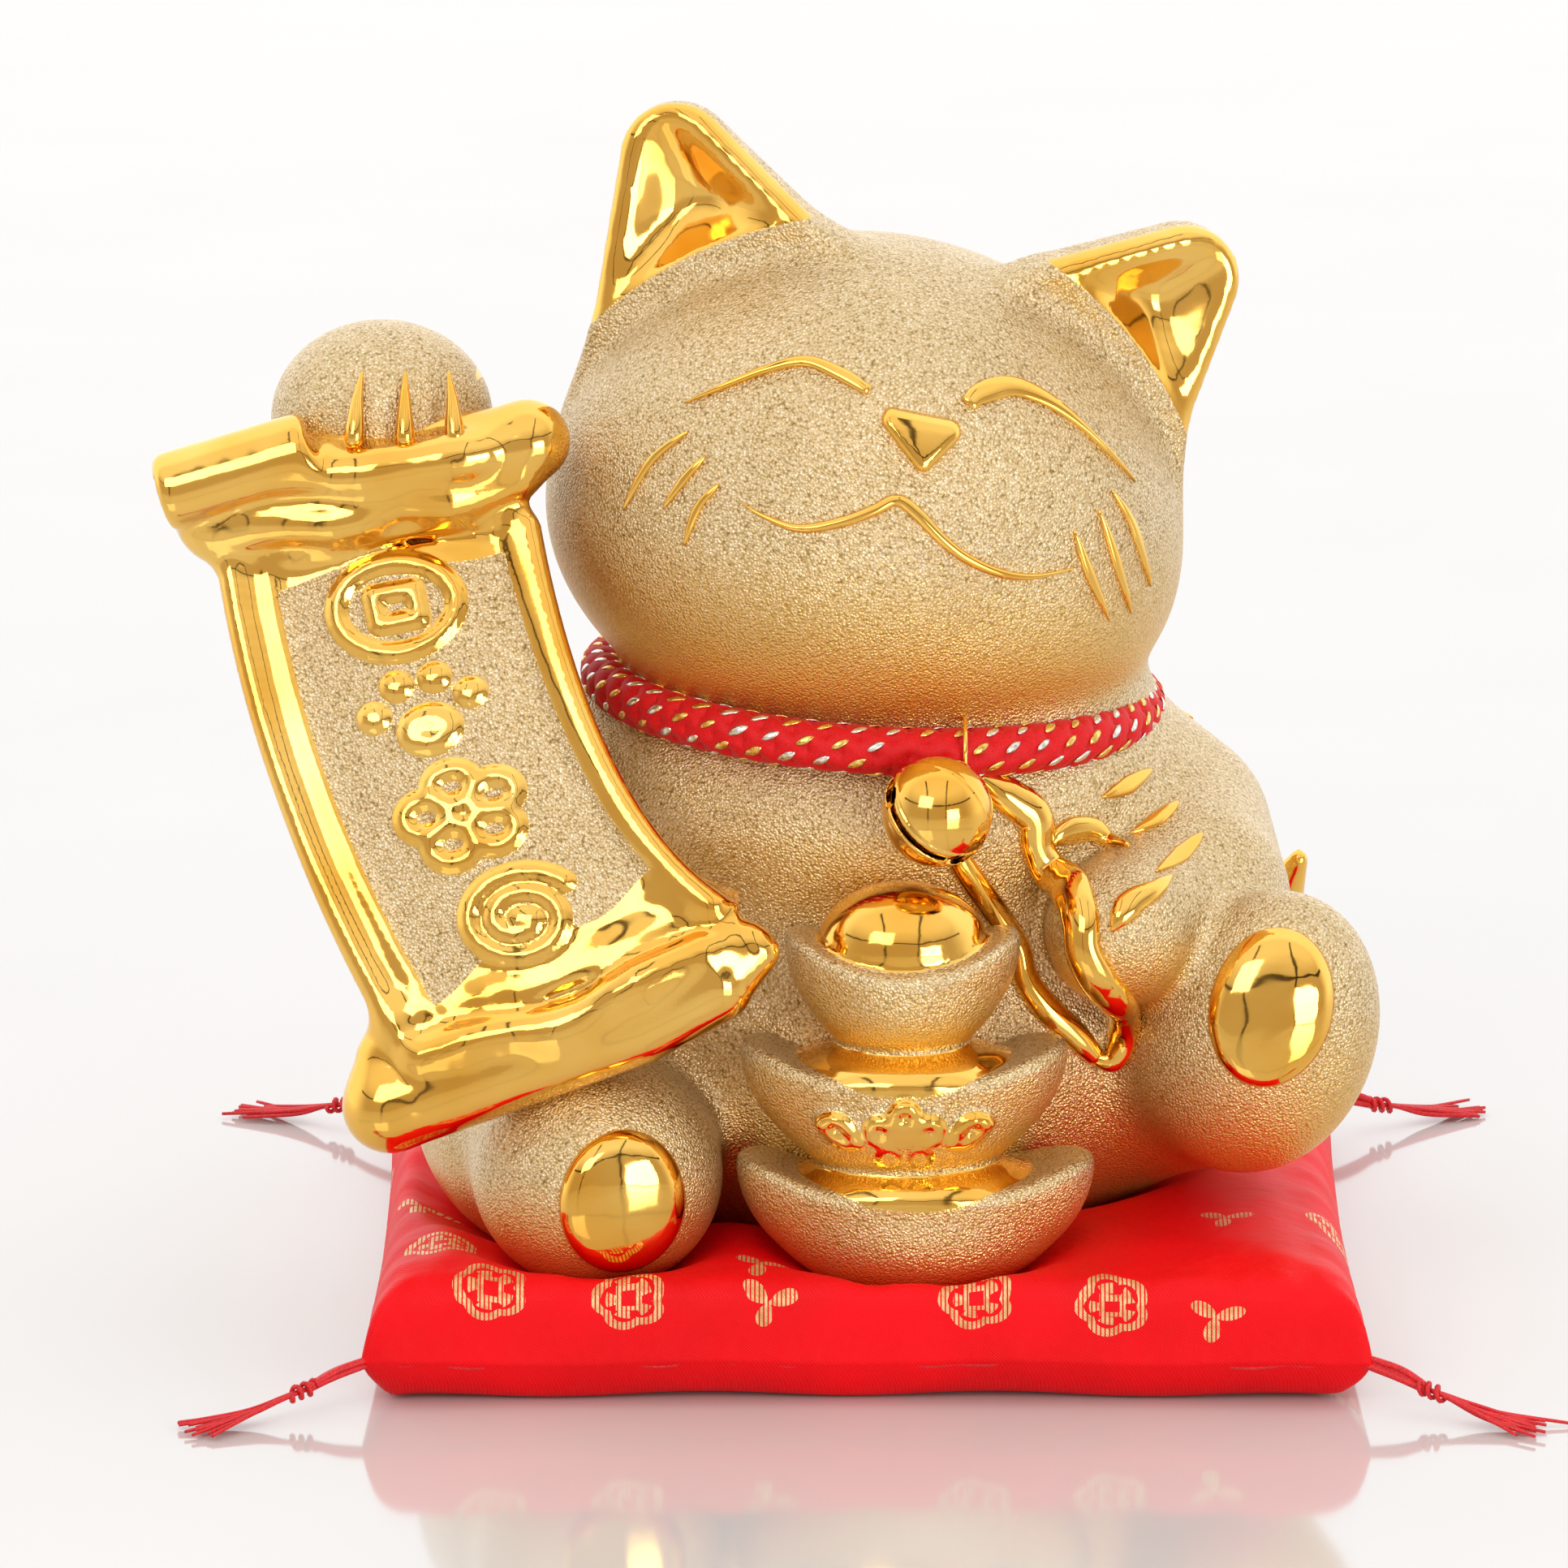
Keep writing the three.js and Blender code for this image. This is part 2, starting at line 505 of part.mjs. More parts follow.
// Cushion: two covers with the stuffing between them. Heights at a place in plan.
const edgeDistance = (x, y) => CUSHION_HALF - Math.max(Math.abs(x), Math.abs(y));
function coverTop(x, y) {
  const d = edgeDistance(x, y);
  const rise = THREE.MathUtils.smoothstep(d, -1, CUSHION_RIM_IN);
  const fall = THREE.MathUtils.smoothstep(d, CUSHION_RIM_IN, CUSHION_RIM_IN + 3.2);
  return CUSHION_EDGE_Z + (CUSHION_RIM_Z - CUSHION_EDGE_Z) * rise - (CUSHION_RIM_Z - SEAT_Z + GAP) * fall;
}
const coverBottom = (x, y) => CUSHION_EDGE_Z * (1 - THREE.MathUtils.smoothstep(edgeDistance(x, y), -3, 6));
function slabBetween(top, bottom, half) {
  const cells = 10;
  const slab = new THREE.BoxGeometry(1, 1, 1, cells, cells, 1);
  const at = slab.attributes.position;
  // Columns crowd towards the edges, where the cushion bends.
  const spread = (t) => Math.sign(t) * (1 - (1 - Math.abs(2 * t)) ** 1.5) * half;
  for (let i = 0; i < at.count; i++) {
    const x = spread(at.getX(i));
    const y = spread(at.getY(i));
    at.setXYZ(i, x, y, at.getZ(i) > 0 ? top(x, y) : bottom(x, y));
  }
  return solidOf(slab);
}
const seam = CUSHION_EDGE_Z;
const innerTop = (x, y) => Math.max(coverTop(x, y) - COVER, seam + GAP / 2);
const innerBottom = (x, y) => Math.min(coverBottom(x, y) + COVER, seam - GAP / 2);
add('cushion_top_cover', slabBetween(coverTop, innerTop, CUSHION_HALF), redBrocade);
add('cushion_bottom_cover', slabBetween(innerBottom, coverBottom, CUSHION_HALF), redBrocade);
const fillTop = (x, y) => innerTop(x, y) - 3 * GAP;
const fillBottom = (x, y) => innerBottom(x, y) + 2 * GAP;
add('cushion_stuffing', slabBetween(fillTop, fillBottom, CUSHION_HALF - 5), whiteFill);

// Tassels at the corners: a bound head and a loose skirt of threads that droops outwards.
for (const [name, sx, sy] of [
  ['front_right', -1, -1],
  ['front_left', 1, -1],
  ['back_right', -1, 1],
  ['back_left', 1, 1],
]) {
  const corner = CUSHION_HALF + 0.6;
  const out = [0.9, 0.42];
  const along = (t, z) => [sx * (corner + out[0] * t), sy * (corner + out[1] * t), z];
  const path = [along(0, CUSHION_EDGE_Z), along(6, 3.4), along(13, 1.7), along(TASSEL_LENGTH, 1.4)];
  add(`tassel_${name}`, strand(path, 1.2, 6, 8), redCord);
}

export default cat;
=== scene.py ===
import json
import math

import bpy
import numpy as np
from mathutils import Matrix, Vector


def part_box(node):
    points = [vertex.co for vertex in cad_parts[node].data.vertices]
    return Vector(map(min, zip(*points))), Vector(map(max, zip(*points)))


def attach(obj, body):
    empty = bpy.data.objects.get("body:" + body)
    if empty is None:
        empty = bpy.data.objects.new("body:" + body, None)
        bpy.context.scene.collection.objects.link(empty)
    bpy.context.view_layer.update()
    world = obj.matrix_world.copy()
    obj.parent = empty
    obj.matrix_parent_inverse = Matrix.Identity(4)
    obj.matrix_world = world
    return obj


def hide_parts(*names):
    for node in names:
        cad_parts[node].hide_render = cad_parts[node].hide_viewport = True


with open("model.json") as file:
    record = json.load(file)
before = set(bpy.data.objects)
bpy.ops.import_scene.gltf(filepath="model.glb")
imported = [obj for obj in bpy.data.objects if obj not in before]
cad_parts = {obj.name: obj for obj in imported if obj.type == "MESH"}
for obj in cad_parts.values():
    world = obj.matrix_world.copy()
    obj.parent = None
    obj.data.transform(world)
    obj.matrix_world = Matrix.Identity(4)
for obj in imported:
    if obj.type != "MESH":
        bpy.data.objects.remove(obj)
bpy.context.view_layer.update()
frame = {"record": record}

import openvdb
from mathutils import Matrix, Vector
from mathutils.bvhtree import BVHTree

MM = 0.001
RNG = np.random.default_rng(20)

# The camera: how high it looks from, how far off it is, and where it looks.
ELEVATION = math.radians(14)
VIEW_DISTANCE = 1400.0
VIEW_WIDTH = 182.26  # the width of the view at the middle of the cat
VIEW_TARGET = np.array([-9.34, 0.0, 58.45])
VIEW_UP = np.array([0, math.sin(ELEVATION), math.cos(ELEVATION)])
VIEW_BACK = np.array([0, -math.cos(ELEVATION), math.sin(ELEVATION)])
VIEW_PLACE = VIEW_TARGET + VIEW_DISTANCE * VIEW_BACK


def box_mm(node):
    low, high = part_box(node)
    return np.array(low) / MM, np.array(high) / MM


def euler(x=0.0, y=0.0, z=0.0):
    turn = Matrix.Rotation(math.radians(x), 3, "X")
    turn = turn @ Matrix.Rotation(math.radians(y), 3, "Y")
    return np.array(turn @ Matrix.Rotation(math.radians(z), 3, "Z"))


# ---------------------------------------------------------------- clay: signed distance shapes


class Shape:
    """A signed distance in millimetres with the box that holds its inside."""

    def __init__(self, distance, low, high):
        self.distance = distance
        self.low = np.array(low, float)
        self.high = np.array(high, float)

    def __call__(self, points):
        return self.distance(points[..., 0], points[..., 1], points[..., 2])


def turned(turn, centre, x, y, z):
    x, y, z = x - centre[0], y - centre[1], z - centre[2]
    return [turn[0, i] * x + turn[1, i] * y + turn[2, i] * z for i in range(3)]


def egg(centre, radii, turn=None):
    turn = np.eye(3) if turn is None else turn
    centre, radii = np.array(centre, float), np.array(radii, float)

    def distance(x, y, z):
        q = turned(turn, centre, x, y, z)
        k0 = np.sqrt(sum((q[i] / radii[i]) ** 2 for i in range(3))) + 1e-6
        k1 = np.sqrt(sum((q[i] / radii[i] ** 2) ** 2 for i in range(3))) + 1e-6
        return k0 * (k0 - 1) / k1

    reach = np.abs(turn) @ radii
    return Shape(distance, centre - reach, centre + reach)


def limb(a, radius_a, b, radius_b):
    a, b = np.array(a, float), np.array(b, float)
    way = b - a

    def distance(x, y, z):
        t = ((x - a[0]) * way[0] + (y - a[1]) * way[1] + (z - a[2]) * way[2]) / (way @ way)
        t = np.clip(t, 0, 1)
        gap = np.sqrt(sum((p - a[i] - way[i] * t) ** 2 for i, p in enumerate((x, y, z))))
        return gap - (radius_a + (radius_b - radius_a) * t)

    reach = max(radius_a, radius_b)
    return Shape(distance, np.minimum(a, b) - reach, np.maximum(a, b) + reach)


def tube(points, radii):
    points = [np.array(p, float) for p in points]
    radii = np.broadcast_to(radii, len(points))
    links = [limb(points[i], radii[i], points[i + 1], radii[i + 1]) for i in range(len(points) - 1)]

    def distance(x, y, z):
        best = links[0].distance(x, y, z)
        for link in links[1:]:
            best = np.minimum(best, link.distance(x, y, z))
        return best

    low = np.min([link.low for link in links], axis=0)
    high = np.max([link.high for link in links], axis=0)
    return Shape(distance, low, high)


def roll(a, b, radius, soft):
    """A cylinder from a to b whose rims are rounded off."""
    a, b = np.array(a, float), np.array(b, float)
    length = np.linalg.norm(b - a)
    way = (b - a) / length

    def distance(x, y, z):
        along = (x - a[0]) * way[0] + (y - a[1]) * way[1] + (z - a[2]) * way[2]
        gap = np.sqrt(sum((p - a[i] - way[i] * along) ** 2 for i, p in enumerate((x, y, z))))
        return blend_max(gap - radius, np.abs(along - length / 2) - length / 2, soft)

    return Shape(distance, np.minimum(a, b) - radius, np.maximum(a, b) + radius)


def blend_min(a, b, soft):
    if soft <= 0:
        return np.minimum(a, b)
    near = np.clip(soft - np.abs(a - b), 0, None) / soft
    return np.minimum(a, b) - near * near * soft / 4


def blend_max(a, b, soft):
    return -blend_min(-a, -b, soft)


class Clay:
    """A block of distances on a grid, built up and cut by shapes, then turned into a mesh."""

    def __init__(self, low, high, step):
        self.low, self.step = np.array(low, float), step
        counts = np.ceil((np.array(high, float) - self.low) / step).astype(int) + 1
        self.field = np.full(counts, 40.0, np.float32)

    def window(self, shape, margin):
        first = np.floor((shape.low - margin - self.low) / self.step).astype(int)
        last = np.ceil((shape.high + margin - self.low) / self.step).astype(int) + 1
        first = np.clip(first, 0, self.field.shape)
        last = np.clip(last, 0, self.field.shape)
        axes = [self.low[i] + self.step * np.arange(first[i], last[i]) for i in range(3)]
        x, y, z = axes[0][:, None, None], axes[1][None, :, None], axes[2][None, None, :]
        return tuple(slice(a, b) for a, b in zip(first, last)), (x, y, z)

    def add(self, shape, soft=0.0):
        part, places = self.window(shape, soft + 3 * self.step)
        self.field[part] = blend_min(self.field[part], shape.distance(*places), soft)
        return self

    def cut(self, shape, soft=0.0):
        part, places = self.window(shape, soft + 3 * self.step)
        self.field[part] = blend_max(self.field[part], -shape.distance(*places), soft)
        return self

    def keep_above(self, height):
        z = self.low[2] + self.step * np.arange(self.field.shape[2])
        self.field = np.maximum(self.field, (height - z)[None, None, :].astype(np.float32))
        return self

    def mesh(self, smoothing=2):
        near = np.clip(self.field, -4 * self.step, 4 * self.step)
        grid = openvdb.FloatGrid(4 * self.step)
        grid.copyFromArray(near.astype(np.float32), tolerance=0)
        grid.transform = openvdb.createLinearTransform(self.step)
        points, quads = grid.convertToQuads(isovalue=0.0)
        return relaxed(points + self.low, quads, smoothing), quads


def relaxed(points, quads, rounds):
    """Evens out the grid's facets: points move halfway to the mean of their neighbours, and back out."""
    a = quads.ravel()
    b = np.roll(quads, -1, axis=1).ravel()
    count = np.bincount(a, minlength=len(points)) + np.bincount(b, minlength=len(points))
    for _ in range(rounds):
        for share in (0.5, -0.52):
            total = np.zeros_like(points)
            for i in range(3):
                total[:, i] = np.bincount(a, points[b, i], len(points))
                total[:, i] += np.bincount(b, points[a, i], len(points))
            points = points + share * (total / count[:, None] - points)
    return points


# ---------------------------------------------------------------- meshes and pieces


def new_piece(name, points, faces, material, body, slot, replaces=(), gilt=None):
    mesh = bpy.data.meshes.new(name)
    mesh.from_pydata((np.asarray(points) * MM).tolist(), [], [list(map(int, f)) for f in faces])
    mesh.update()
    mesh.polygons.foreach_set("use_smooth", [True] * len(mesh.polygons))
    if gilt is not None:
        attribute = mesh.attributes.new("gilt", "FLOAT", "POINT")
        attribute.data.foreach_set("value", np.asarray(gilt, np.float32))
    mesh.materials.append(material)
    piece = bpy.data.objects.new(name, mesh)
    bpy.context.scene.collection.objects.link(piece)
    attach(piece, body)
    if replaces:
        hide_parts(*replaces)
    return piece


def gold_piece(name, points, faces, replaces=()):
    return new_piece(name, points, faces, GOLD, "figure", "bright_gold_ceramic", replaces)


def ceramic_piece(name, points, faces, replaces, gilt):
    return new_piece(name, points, faces, MATT, "figure", "matt_gold_ceramic", replaces, gilt)


def smooth_path(points, count):
    """Points evenly spread along a Catmull-Rom curve through the given ones."""
    points = np.array(points, float)
    padded = np.vstack([2 * points[0] - points[1], points, 2 * points[-1] - points[-2]])
    fine = []
    for i in range(1, len(padded) - 2):
        p0, p1, p2, p3 = padded[i - 1 : i + 3]
        for t in np.linspace(0, 1, 16, endpoint=False):
            curve = 2 * p1 + (p2 - p0) * t + (2 * p0 - 5 * p1 + 4 * p2 - p3) * t * t
            fine.append((curve + (3 * p1 - p0 - 3 * p2 + p3) * t**3) / 2)
    fine.append(padded[-2])
    fine = np.array(fine)
    run = np.concatenate([[0], np.cumsum(np.linalg.norm(np.diff(fine, axis=0), axis=1))])
    at = np.linspace(0, run[-1], count)
    return np.stack([np.interp(at, run, fine[:, i]) for i in range(points.shape[1])], axis=1)


def sweep(path, normals, widths, heights, sides=12):
    """A closed strand along a path: its oval section is wide along the surface and high along its normal."""
    path, normals = np.array(path, float), np.array(normals, float)
    tangents = np.gradient(path, axis=0)
    tangents /= np.linalg.norm(tangents, axis=1)[:, None]
    normals = normals - (normals * tangents).sum(1)[:, None] * tangents
    normals /= np.linalg.norm(normals, axis=1)[:, None]
    across = np.cross(tangents, normals)
    turn = np.linspace(0, 2 * math.pi, sides, endpoint=False)
    rings = path[:, None] + across[:, None] * (np.cos(turn)[None, :, None] * np.array(widths)[:, None, None])
    rings = rings + normals[:, None] * (np.sin(turn)[None, :, None] * np.array(heights)[:, None, None])
    points = rings.reshape(-1, 3)
    faces = []
    for i in range(len(path) - 1):
        for j in range(sides):
            a, b = i * sides + j, i * sides + (j + 1) % sides
            faces.append((a, a + sides, b + sides, b))
    last = (len(path) - 1) * sides
    faces.append(tuple(range(sides)))
    faces.append(tuple(last + j for j in reversed(range(sides))))
    return points, faces


def round_strand(path, radii, sides=8):
    """A round strand along a free path."""
    path = np.array(path, float)
    tangent = path[-1] - path[0]
    side = np.cross(tangent, (0, 0, 1) if abs(tangent[2]) < 0.8 * np.linalg.norm(tangent) else (1, 0, 0))
    normals = np.broadcast_to(side, path.shape)
    radii = np.broadcast_to(radii, len(path))
    return sweep(path, normals, radii, radii, sides)


def gathered(strands):
    points, faces, start = [], [], 0
    for some, theirs in strands:
        points.append(some)
        faces += [tuple(i + start for i in face) for face in theirs]
        start += len(some)
    return np.vstack(points), faces


# ---------------------------------------------------------------- materials


class Nodes:
    """Small helpers for a tree of shader nodes."""

    def __init__(self, tree):
        self.tree = tree

    def node(self, kind, **values):
        node = self.tree.nodes.new(kind)
        for key, value in values.items():
            setattr(node, key, value)
        return node

    def link(self, source, target):
        self.tree.links.new(source, target)

    def split(self, vector):
        node = self.node("ShaderNodeSeparateXYZ")
        self.link(vector, node.inputs[0])
        return node.outputs

    def math(self, operation, a, b=None, c=None, clamp=False):
        node = self.node("ShaderNodeMath", operation=operation, use_clamp=clamp)
        for socket, value in zip(node.inputs, (a, b, c)):
            if isinstance(value, (int, float)):
                socket.default_value = value
            elif value is not None:
                self.link(value, socket)
        return node.outputs[0]

    def times(self, a, b):
        return self.math("MULTIPLY", a, b)

    def plus(self, a, b):
        return self.math("ADD", a, b)

    def minus(self, a, b):
        return self.math("SUBTRACT", a, b)

    def size(self, a):
        return self.math("ABSOLUTE", a)

    def scaled(self, value, factor, offset, clamp=False):
        return self.math("MULTIPLY_ADD", value, factor, offset, clamp)

    def rise(self, value, start, end, top):
        """Climbs smoothly from 0 to top as the value goes from start to end."""
        node = self.node("ShaderNodeMapRange", interpolation_type="SMOOTHSTEP")
        for socket, limit in zip(node.inputs[1:5], (start, end, 0.0, top)):
            socket.default_value = limit
        self.link(value, node.inputs[0])
        return node.outputs[0]

    def ramp(self, factor, stops):
        node = self.node("ShaderNodeValToRGB")
        elements = node.color_ramp.elements
        while len(elements) < len(stops):
            elements.new(0.5)
        for element, (position, color) in zip(elements, stops):
            element.position = position
            element.color = (*color, 1)
        self.link(factor, node.inputs["Fac"])
        return node.outputs["Color"]

    def mix(self, factor, a, b):
        node = self.node("ShaderNodeMix", data_type="RGBA")
        for socket, value in zip((node.inputs[0], node.inputs[6], node.inputs[7]), (factor, a, b)):
            if isinstance(value, tuple):
                socket.default_value = (*value, 1)
            else:
                self.link(value, socket)
        return node.outputs[2]


class Look(Nodes):
    """A principled material."""

    def __init__(self, name, **values):
        self.material = bpy.data.materials.new(name)
        self.material.use_nodes = True
        super().__init__(self.material.node_tree)
        self.shader = self.tree.nodes["Principled BSDF"]
        for key, value in values.items():
            self.shader.inputs[key.replace("_", " ")].default_value = value

    def place(self):
        return self.node("ShaderNodeTexCoord").outputs["Object"]

    def noise(self, size_mm, detail=2.0, rough=0.5):
        node = self.node("ShaderNodeTexNoise")
        node.inputs["Scale"].default_value = 1 / (size_mm * MM)
        node.inputs["Detail"].default_value = detail
        node.inputs["Roughness"].default_value = rough
        self.link(self.place(), node.inputs["Vector"])
        return node.outputs["Fac"]

    def cells(self, size_mm, output="Distance"):
        node = self.node("ShaderNodeTexVoronoi")
        node.inputs["Scale"].default_value = 1 / (size_mm * MM)
        self.link(self.place(), node.inputs["Vector"])
        return node.outputs[output]

    def bump(self, height, distance_mm, strength, before=None):
        node = self.node("ShaderNodeBump")
        node.inputs["Distance"].default_value = distance_mm * MM
        node.inputs["Strength"].default_value = strength
        self.link(height, node.inputs["Height"])
        if before is not None:
            self.link(before, node.inputs["Normal"])
        return node.outputs["Normal"]

    def set(self, socket, source):
        self.link(source, self.shader.inputs[socket])


BRIGHT = (0.94, 0.6, 0.15)
BRIGHT_DEEP = (0.86, 0.46, 0.07)
# painted highlight colour for the middle of each sand grain
MATT_PAINTED_GLINT = (1.0, 0.93, 0.76)
MATT_LIGHT = (0.77, 0.6, 0.36)
MATT_MID = (0.6, 0.43, 0.2)
MATT_DARK = (0.26, 0.16, 0.04)
# painted shade and painted reflection colour for the sand where it faces down
MATT_PAINTED_UNDERSHADE = (0.88, 0.49, 0.06)


GRAIN = 0.32  # the size of the sand's grains
GILT_EDGE = 6.0  # how sharply the lustre ends


def ceramic_gold():
    """Sandy matt gold, with polished gold lustre wherever the piece's gilt distance is below zero."""
    look = Look("ceramic_gold", Specular_IOR_Level=0.5, Coat_Roughness=0.5)
    attribute = look.node("ShaderNodeAttribute", attribute_name="gilt")
    lustre = look.scaled(attribute.outputs["Fac"], -GILT_EDGE, 0.5, True)
    grain = look.cells(GRAIN)
    height = look.plus(look.times(grain, -1.0), look.times(look.noise(0.22, 1.0), 0.7))
    tone = look.node("ShaderNodeSeparateColor")
    look.link(look.cells(GRAIN, "Color"), tone.inputs[0])
    # Each grain is painted bright at its middle, a painted glint, and dark at its edge, painted shade in its
    # pit, mixed with a random tone per grain and a broad mottle.
    stops = [(0.0, MATT_DARK), (0.35, MATT_MID), (0.75, MATT_LIGHT), (1.0, MATT_PAINTED_GLINT)]
    mottle = look.scaled(look.noise(9, 3.0), 0.16, -0.08)
    glint_and_tone = look.scaled(grain, -1.0, look.scaled(tone.outputs[0], 0.34, 0.84))
    sand = look.ramp(look.plus(glint_and_tone, mottle), stops)
    # The sand is painted a deeper orange gold where the surface faces down: painted shade and painted
    # reflection of the gold and red below it.
    facing = look.split(look.node("ShaderNodeNewGeometry").outputs["Normal"])
    under = look.scaled(facing[2], -1.3, 0.2, True)
    sand = look.mix(look.times(under, 0.85), sand, MATT_PAINTED_UNDERSHADE)
    polish = look.ramp(look.noise(14, 2.0), [(0.3, BRIGHT_DEEP), (0.7, BRIGHT)])
    look.set("Base Color", look.mix(lustre, sand, polish))
    sand_rough = look.scaled(look.noise(4, 2.0), 0.06, 0.3)
    bright_rough = look.scaled(look.noise(6, 2.0), 0.08, 0.05)
    rough = look.node("ShaderNodeMix", data_type="FLOAT")
    for socket, value in zip(rough.inputs[:1] + rough.inputs[2:4], (lustre, sand_rough, bright_rough)):
        look.link(value, socket)
    look.set("Roughness", rough.outputs[0])
    look.set("Metallic", look.scaled(lustre, 0.2, 0.8))
    look.set("Coat Weight", look.scaled(lustre, -0.3, 0.3))
    sandy = look.bump(height, 0.15, 1.0)
    wavy = look.bump(look.noise(5.5, 1.0), 0.35, 0.35)
    normal = look.node("ShaderNodeMix", data_type="VECTOR")
    for socket, value in zip((normal.inputs[0], normal.inputs[4], normal.inputs[5]), (lustre, sandy, wavy)):
        look.link(value, socket)
    look.set("Normal", normal.outputs[1])
    return look.material


def bright_gold(name="bright_gold", wave=0.22, wave_size=5.5):
    look = Look(name, Metallic=1.0)
    look.set("Base Color", look.ramp(look.noise(12, 2.0), [(0.3, BRIGHT_DEEP), (0.7, BRIGHT)]))
    look.set("Roughness", look.scaled(look.noise(6, 3.0), 0.09, 0.03))
    look.set("Normal", look.bump(look.noise(wave_size, 1.0), 0.35, wave))
    return look.material


def cord_red():
    look = Look("cord_red", Sheen_Weight=0.08, Sheen_Roughness=0.4, Specular_IOR_Level=0.35)
    fibre = look.noise(0.16, 2.0)
    look.set("Base Color", look.ramp(fibre, [(0.3, (0.5, 0.0, 0.002)), (0.7, (0.88, 0.0, 0.006))]))
    look.set("Roughness", look.scaled(fibre, 0.3, 0.42))
    look.set("Normal", look.bump(fibre, 0.06, 0.6))
    return look.material


def tinsel(name, light, deep):
    look = Look(name, Metallic=0.95)
    look.set("Base Color", look.ramp(look.noise(0.5), [(0.35, deep), (0.65, light)]))
    look.set("Roughness", look.scaled(look.noise(0.4), 0.2, 0.15))
    look.set("Normal", look.bump(look.noise(0.25), 0.05, 0.5))
    return look.material


def thread_red():
    look = Look("thread_red", Sheen_Weight=0.15, Sheen_Roughness=0.35)
    twist = look.noise(0.25, 2.0)
    look.set("Base Color", look.ramp(twist, [(0.3, (0.45, 0.002, 0.006)), (0.7, (0.85, 0.012, 0.02))]))
    look.set("Roughness", look.scaled(twist, 0.25, 0.4))
    look.set("Normal", look.bump(twist, 0.05, 0.6))
    return look.material


MATT = ceramic_gold()
GOLD = bright_gold()
BELL_GOLD = bright_gold("bell_gold", 0.03, 9)
CORD = cord_red()
TINSEL_GOLD = tinsel("tinsel_gold", (0.98, 0.72, 0.25), (0.7, 0.4, 0.08))
TINSEL_SILVER = tinsel("tinsel_silver", (0.97, 0.95, 0.92), (0.6, 0.56, 0.52))
THREAD = thread_red()

# ---------------------------------------------------------------- the cat's body

SEAT_Z = box_mm("torso_shell")[0][2]
HEAD = np.array([0.7, -3.0, 95.0])
HEAD_TURN = euler(0, 11, 6)
TILT_ONLY = euler(0, 11, 0)


def on_head(x, y, z):
    return HEAD + HEAD_TURN @ np.array([x, y, z], float)


def triangle_distance(px, pz, corners):
    """Signed distance in a plane to a triangle."""
    best, inside = None, None
    for i in range(3):
        a, b = np.array(corners[i], float), np.array(corners[(i + 1) % 3], float)
        way = b - a
        t = np.clip(((px - a[0]) * way[0] + (pz - a[1]) * way[1]) / (way @ way), 0, 1)
        gap = np.hypot(px - a[0] - way[0] * t, pz - a[1] - way[1] * t)
        side = way[0] * (pz - a[1]) - way[1] * (px - a[0])
        best = gap if best is None else np.minimum(best, gap)
        inside = side if inside is None else np.minimum(inside, side)
    return np.where(inside > 0, -best, best)


def triangle_depth(px, pz, corners):
    """How far inside a triangle a place lies, with the creases between its sides rounded away."""
    total = 0
    for i in range(3):
        a, b = np.array(corners[i], float), np.array(corners[(i + 1) % 3], float)
        way = (b - a) / np.linalg.norm(b - a)
        total = total + np.exp(-(way[0] * (pz - a[1]) - way[1] * (px - a[0])) / 2.2)
    return -2.2 * np.log(total)


EAR_OUT, EAR_UP = 24, 22  # where the ear is set on the head
EAR_CORNERS = {-1: [(27.4, 4.0), (29.0, 33.4), (12.6, 23.0)], 1: [(24.0, 1.5), (30.2, 30.4), (16.4, 24.8)]}
EAR_ROUND = 6.2
EAR_THICK = 5.4
EAR_RIM = 1.2
EAR_DISH = 4.4
# The line across the foot of the ear's hollow, from one end to the other.
EAR_BASE = {-1: (13.4, 30.0, 32.6, 14.6), 1: (15.4, 29.8, 32.6, 13.0)}


def ear(side):
    """The dished ear and the part of it that is gilt, for the ear on one side of the head."""
    outward = 16 if side < 0 else 20
    pivot = HEAD + TILT_ONLY @ np.array([side * EAR_OUT, -1.0, EAR_UP])
    spin = TILT_ONLY @ euler(0, 0, side * outward)
    squeeze = math.cos(math.radians(outward))
    corners = EAR_CORNERS[side]

    def local(x, y, z):
        u, v, w = turned(spin, pivot, x, y, z)
        return side * u * squeeze + EAR_OUT, v, w + EAR_UP

    x0, z0, x1, z1 = EAR_BASE[side]
    length = math.hypot(x1 - x0, z1 - z0)

    def above_base(u, w):
        run = ((u - x0) * (x1 - x0) + (w - z0) * (z1 - z0)) / length**2
        off = ((u - x0) * (z0 - z1) + (w - z0) * (x1 - x0)) / length
        return off - 1.6 * np.clip(4 * run * (1 - run), -0.5, 1)

    def profile(u, w):
        """The ear's outline seen flat on, and half its thickness."""
        return triangle_distance(u, w, corners) - EAR_ROUND, EAR_THICK - 0.1 * (w - 12)

    def solid(x, y, z):
        u, v, w = local(x, y, z)
        flat, half = profile(u, w)
        inner = np.clip((triangle_depth(u, w, corners) + EAR_ROUND - EAR_RIM) / 6.5, 0, 1)
        above = above_base(u, w)
        lip = np.clip(above / 6.0, 0, 1)
        dish = EAR_DISH * inner * inner * (3 - 2 * inner) * np.sin(lip * math.pi / 2)
        thick = np.maximum(v - half, -v - half + dish) + 3.5 * np.clip((-above - 0.5) / 6.0, 0, 1)
        return blend_max(flat, thick, 2.0)

    def gilt(x, y, z):
        u, v, w = local(x, y, z)
        flat, half = profile(u, w)
        front = np.minimum(v + 0.8, np.maximum(flat + 1.6, v - half + 2.5))
        return np.maximum(front, -above_base(u, w))

    reach = np.array([26, 16, 28])
    return Shape(solid, pivot - reach, pivot + reach), Shape(gilt, pivot - reach, pivot + reach)


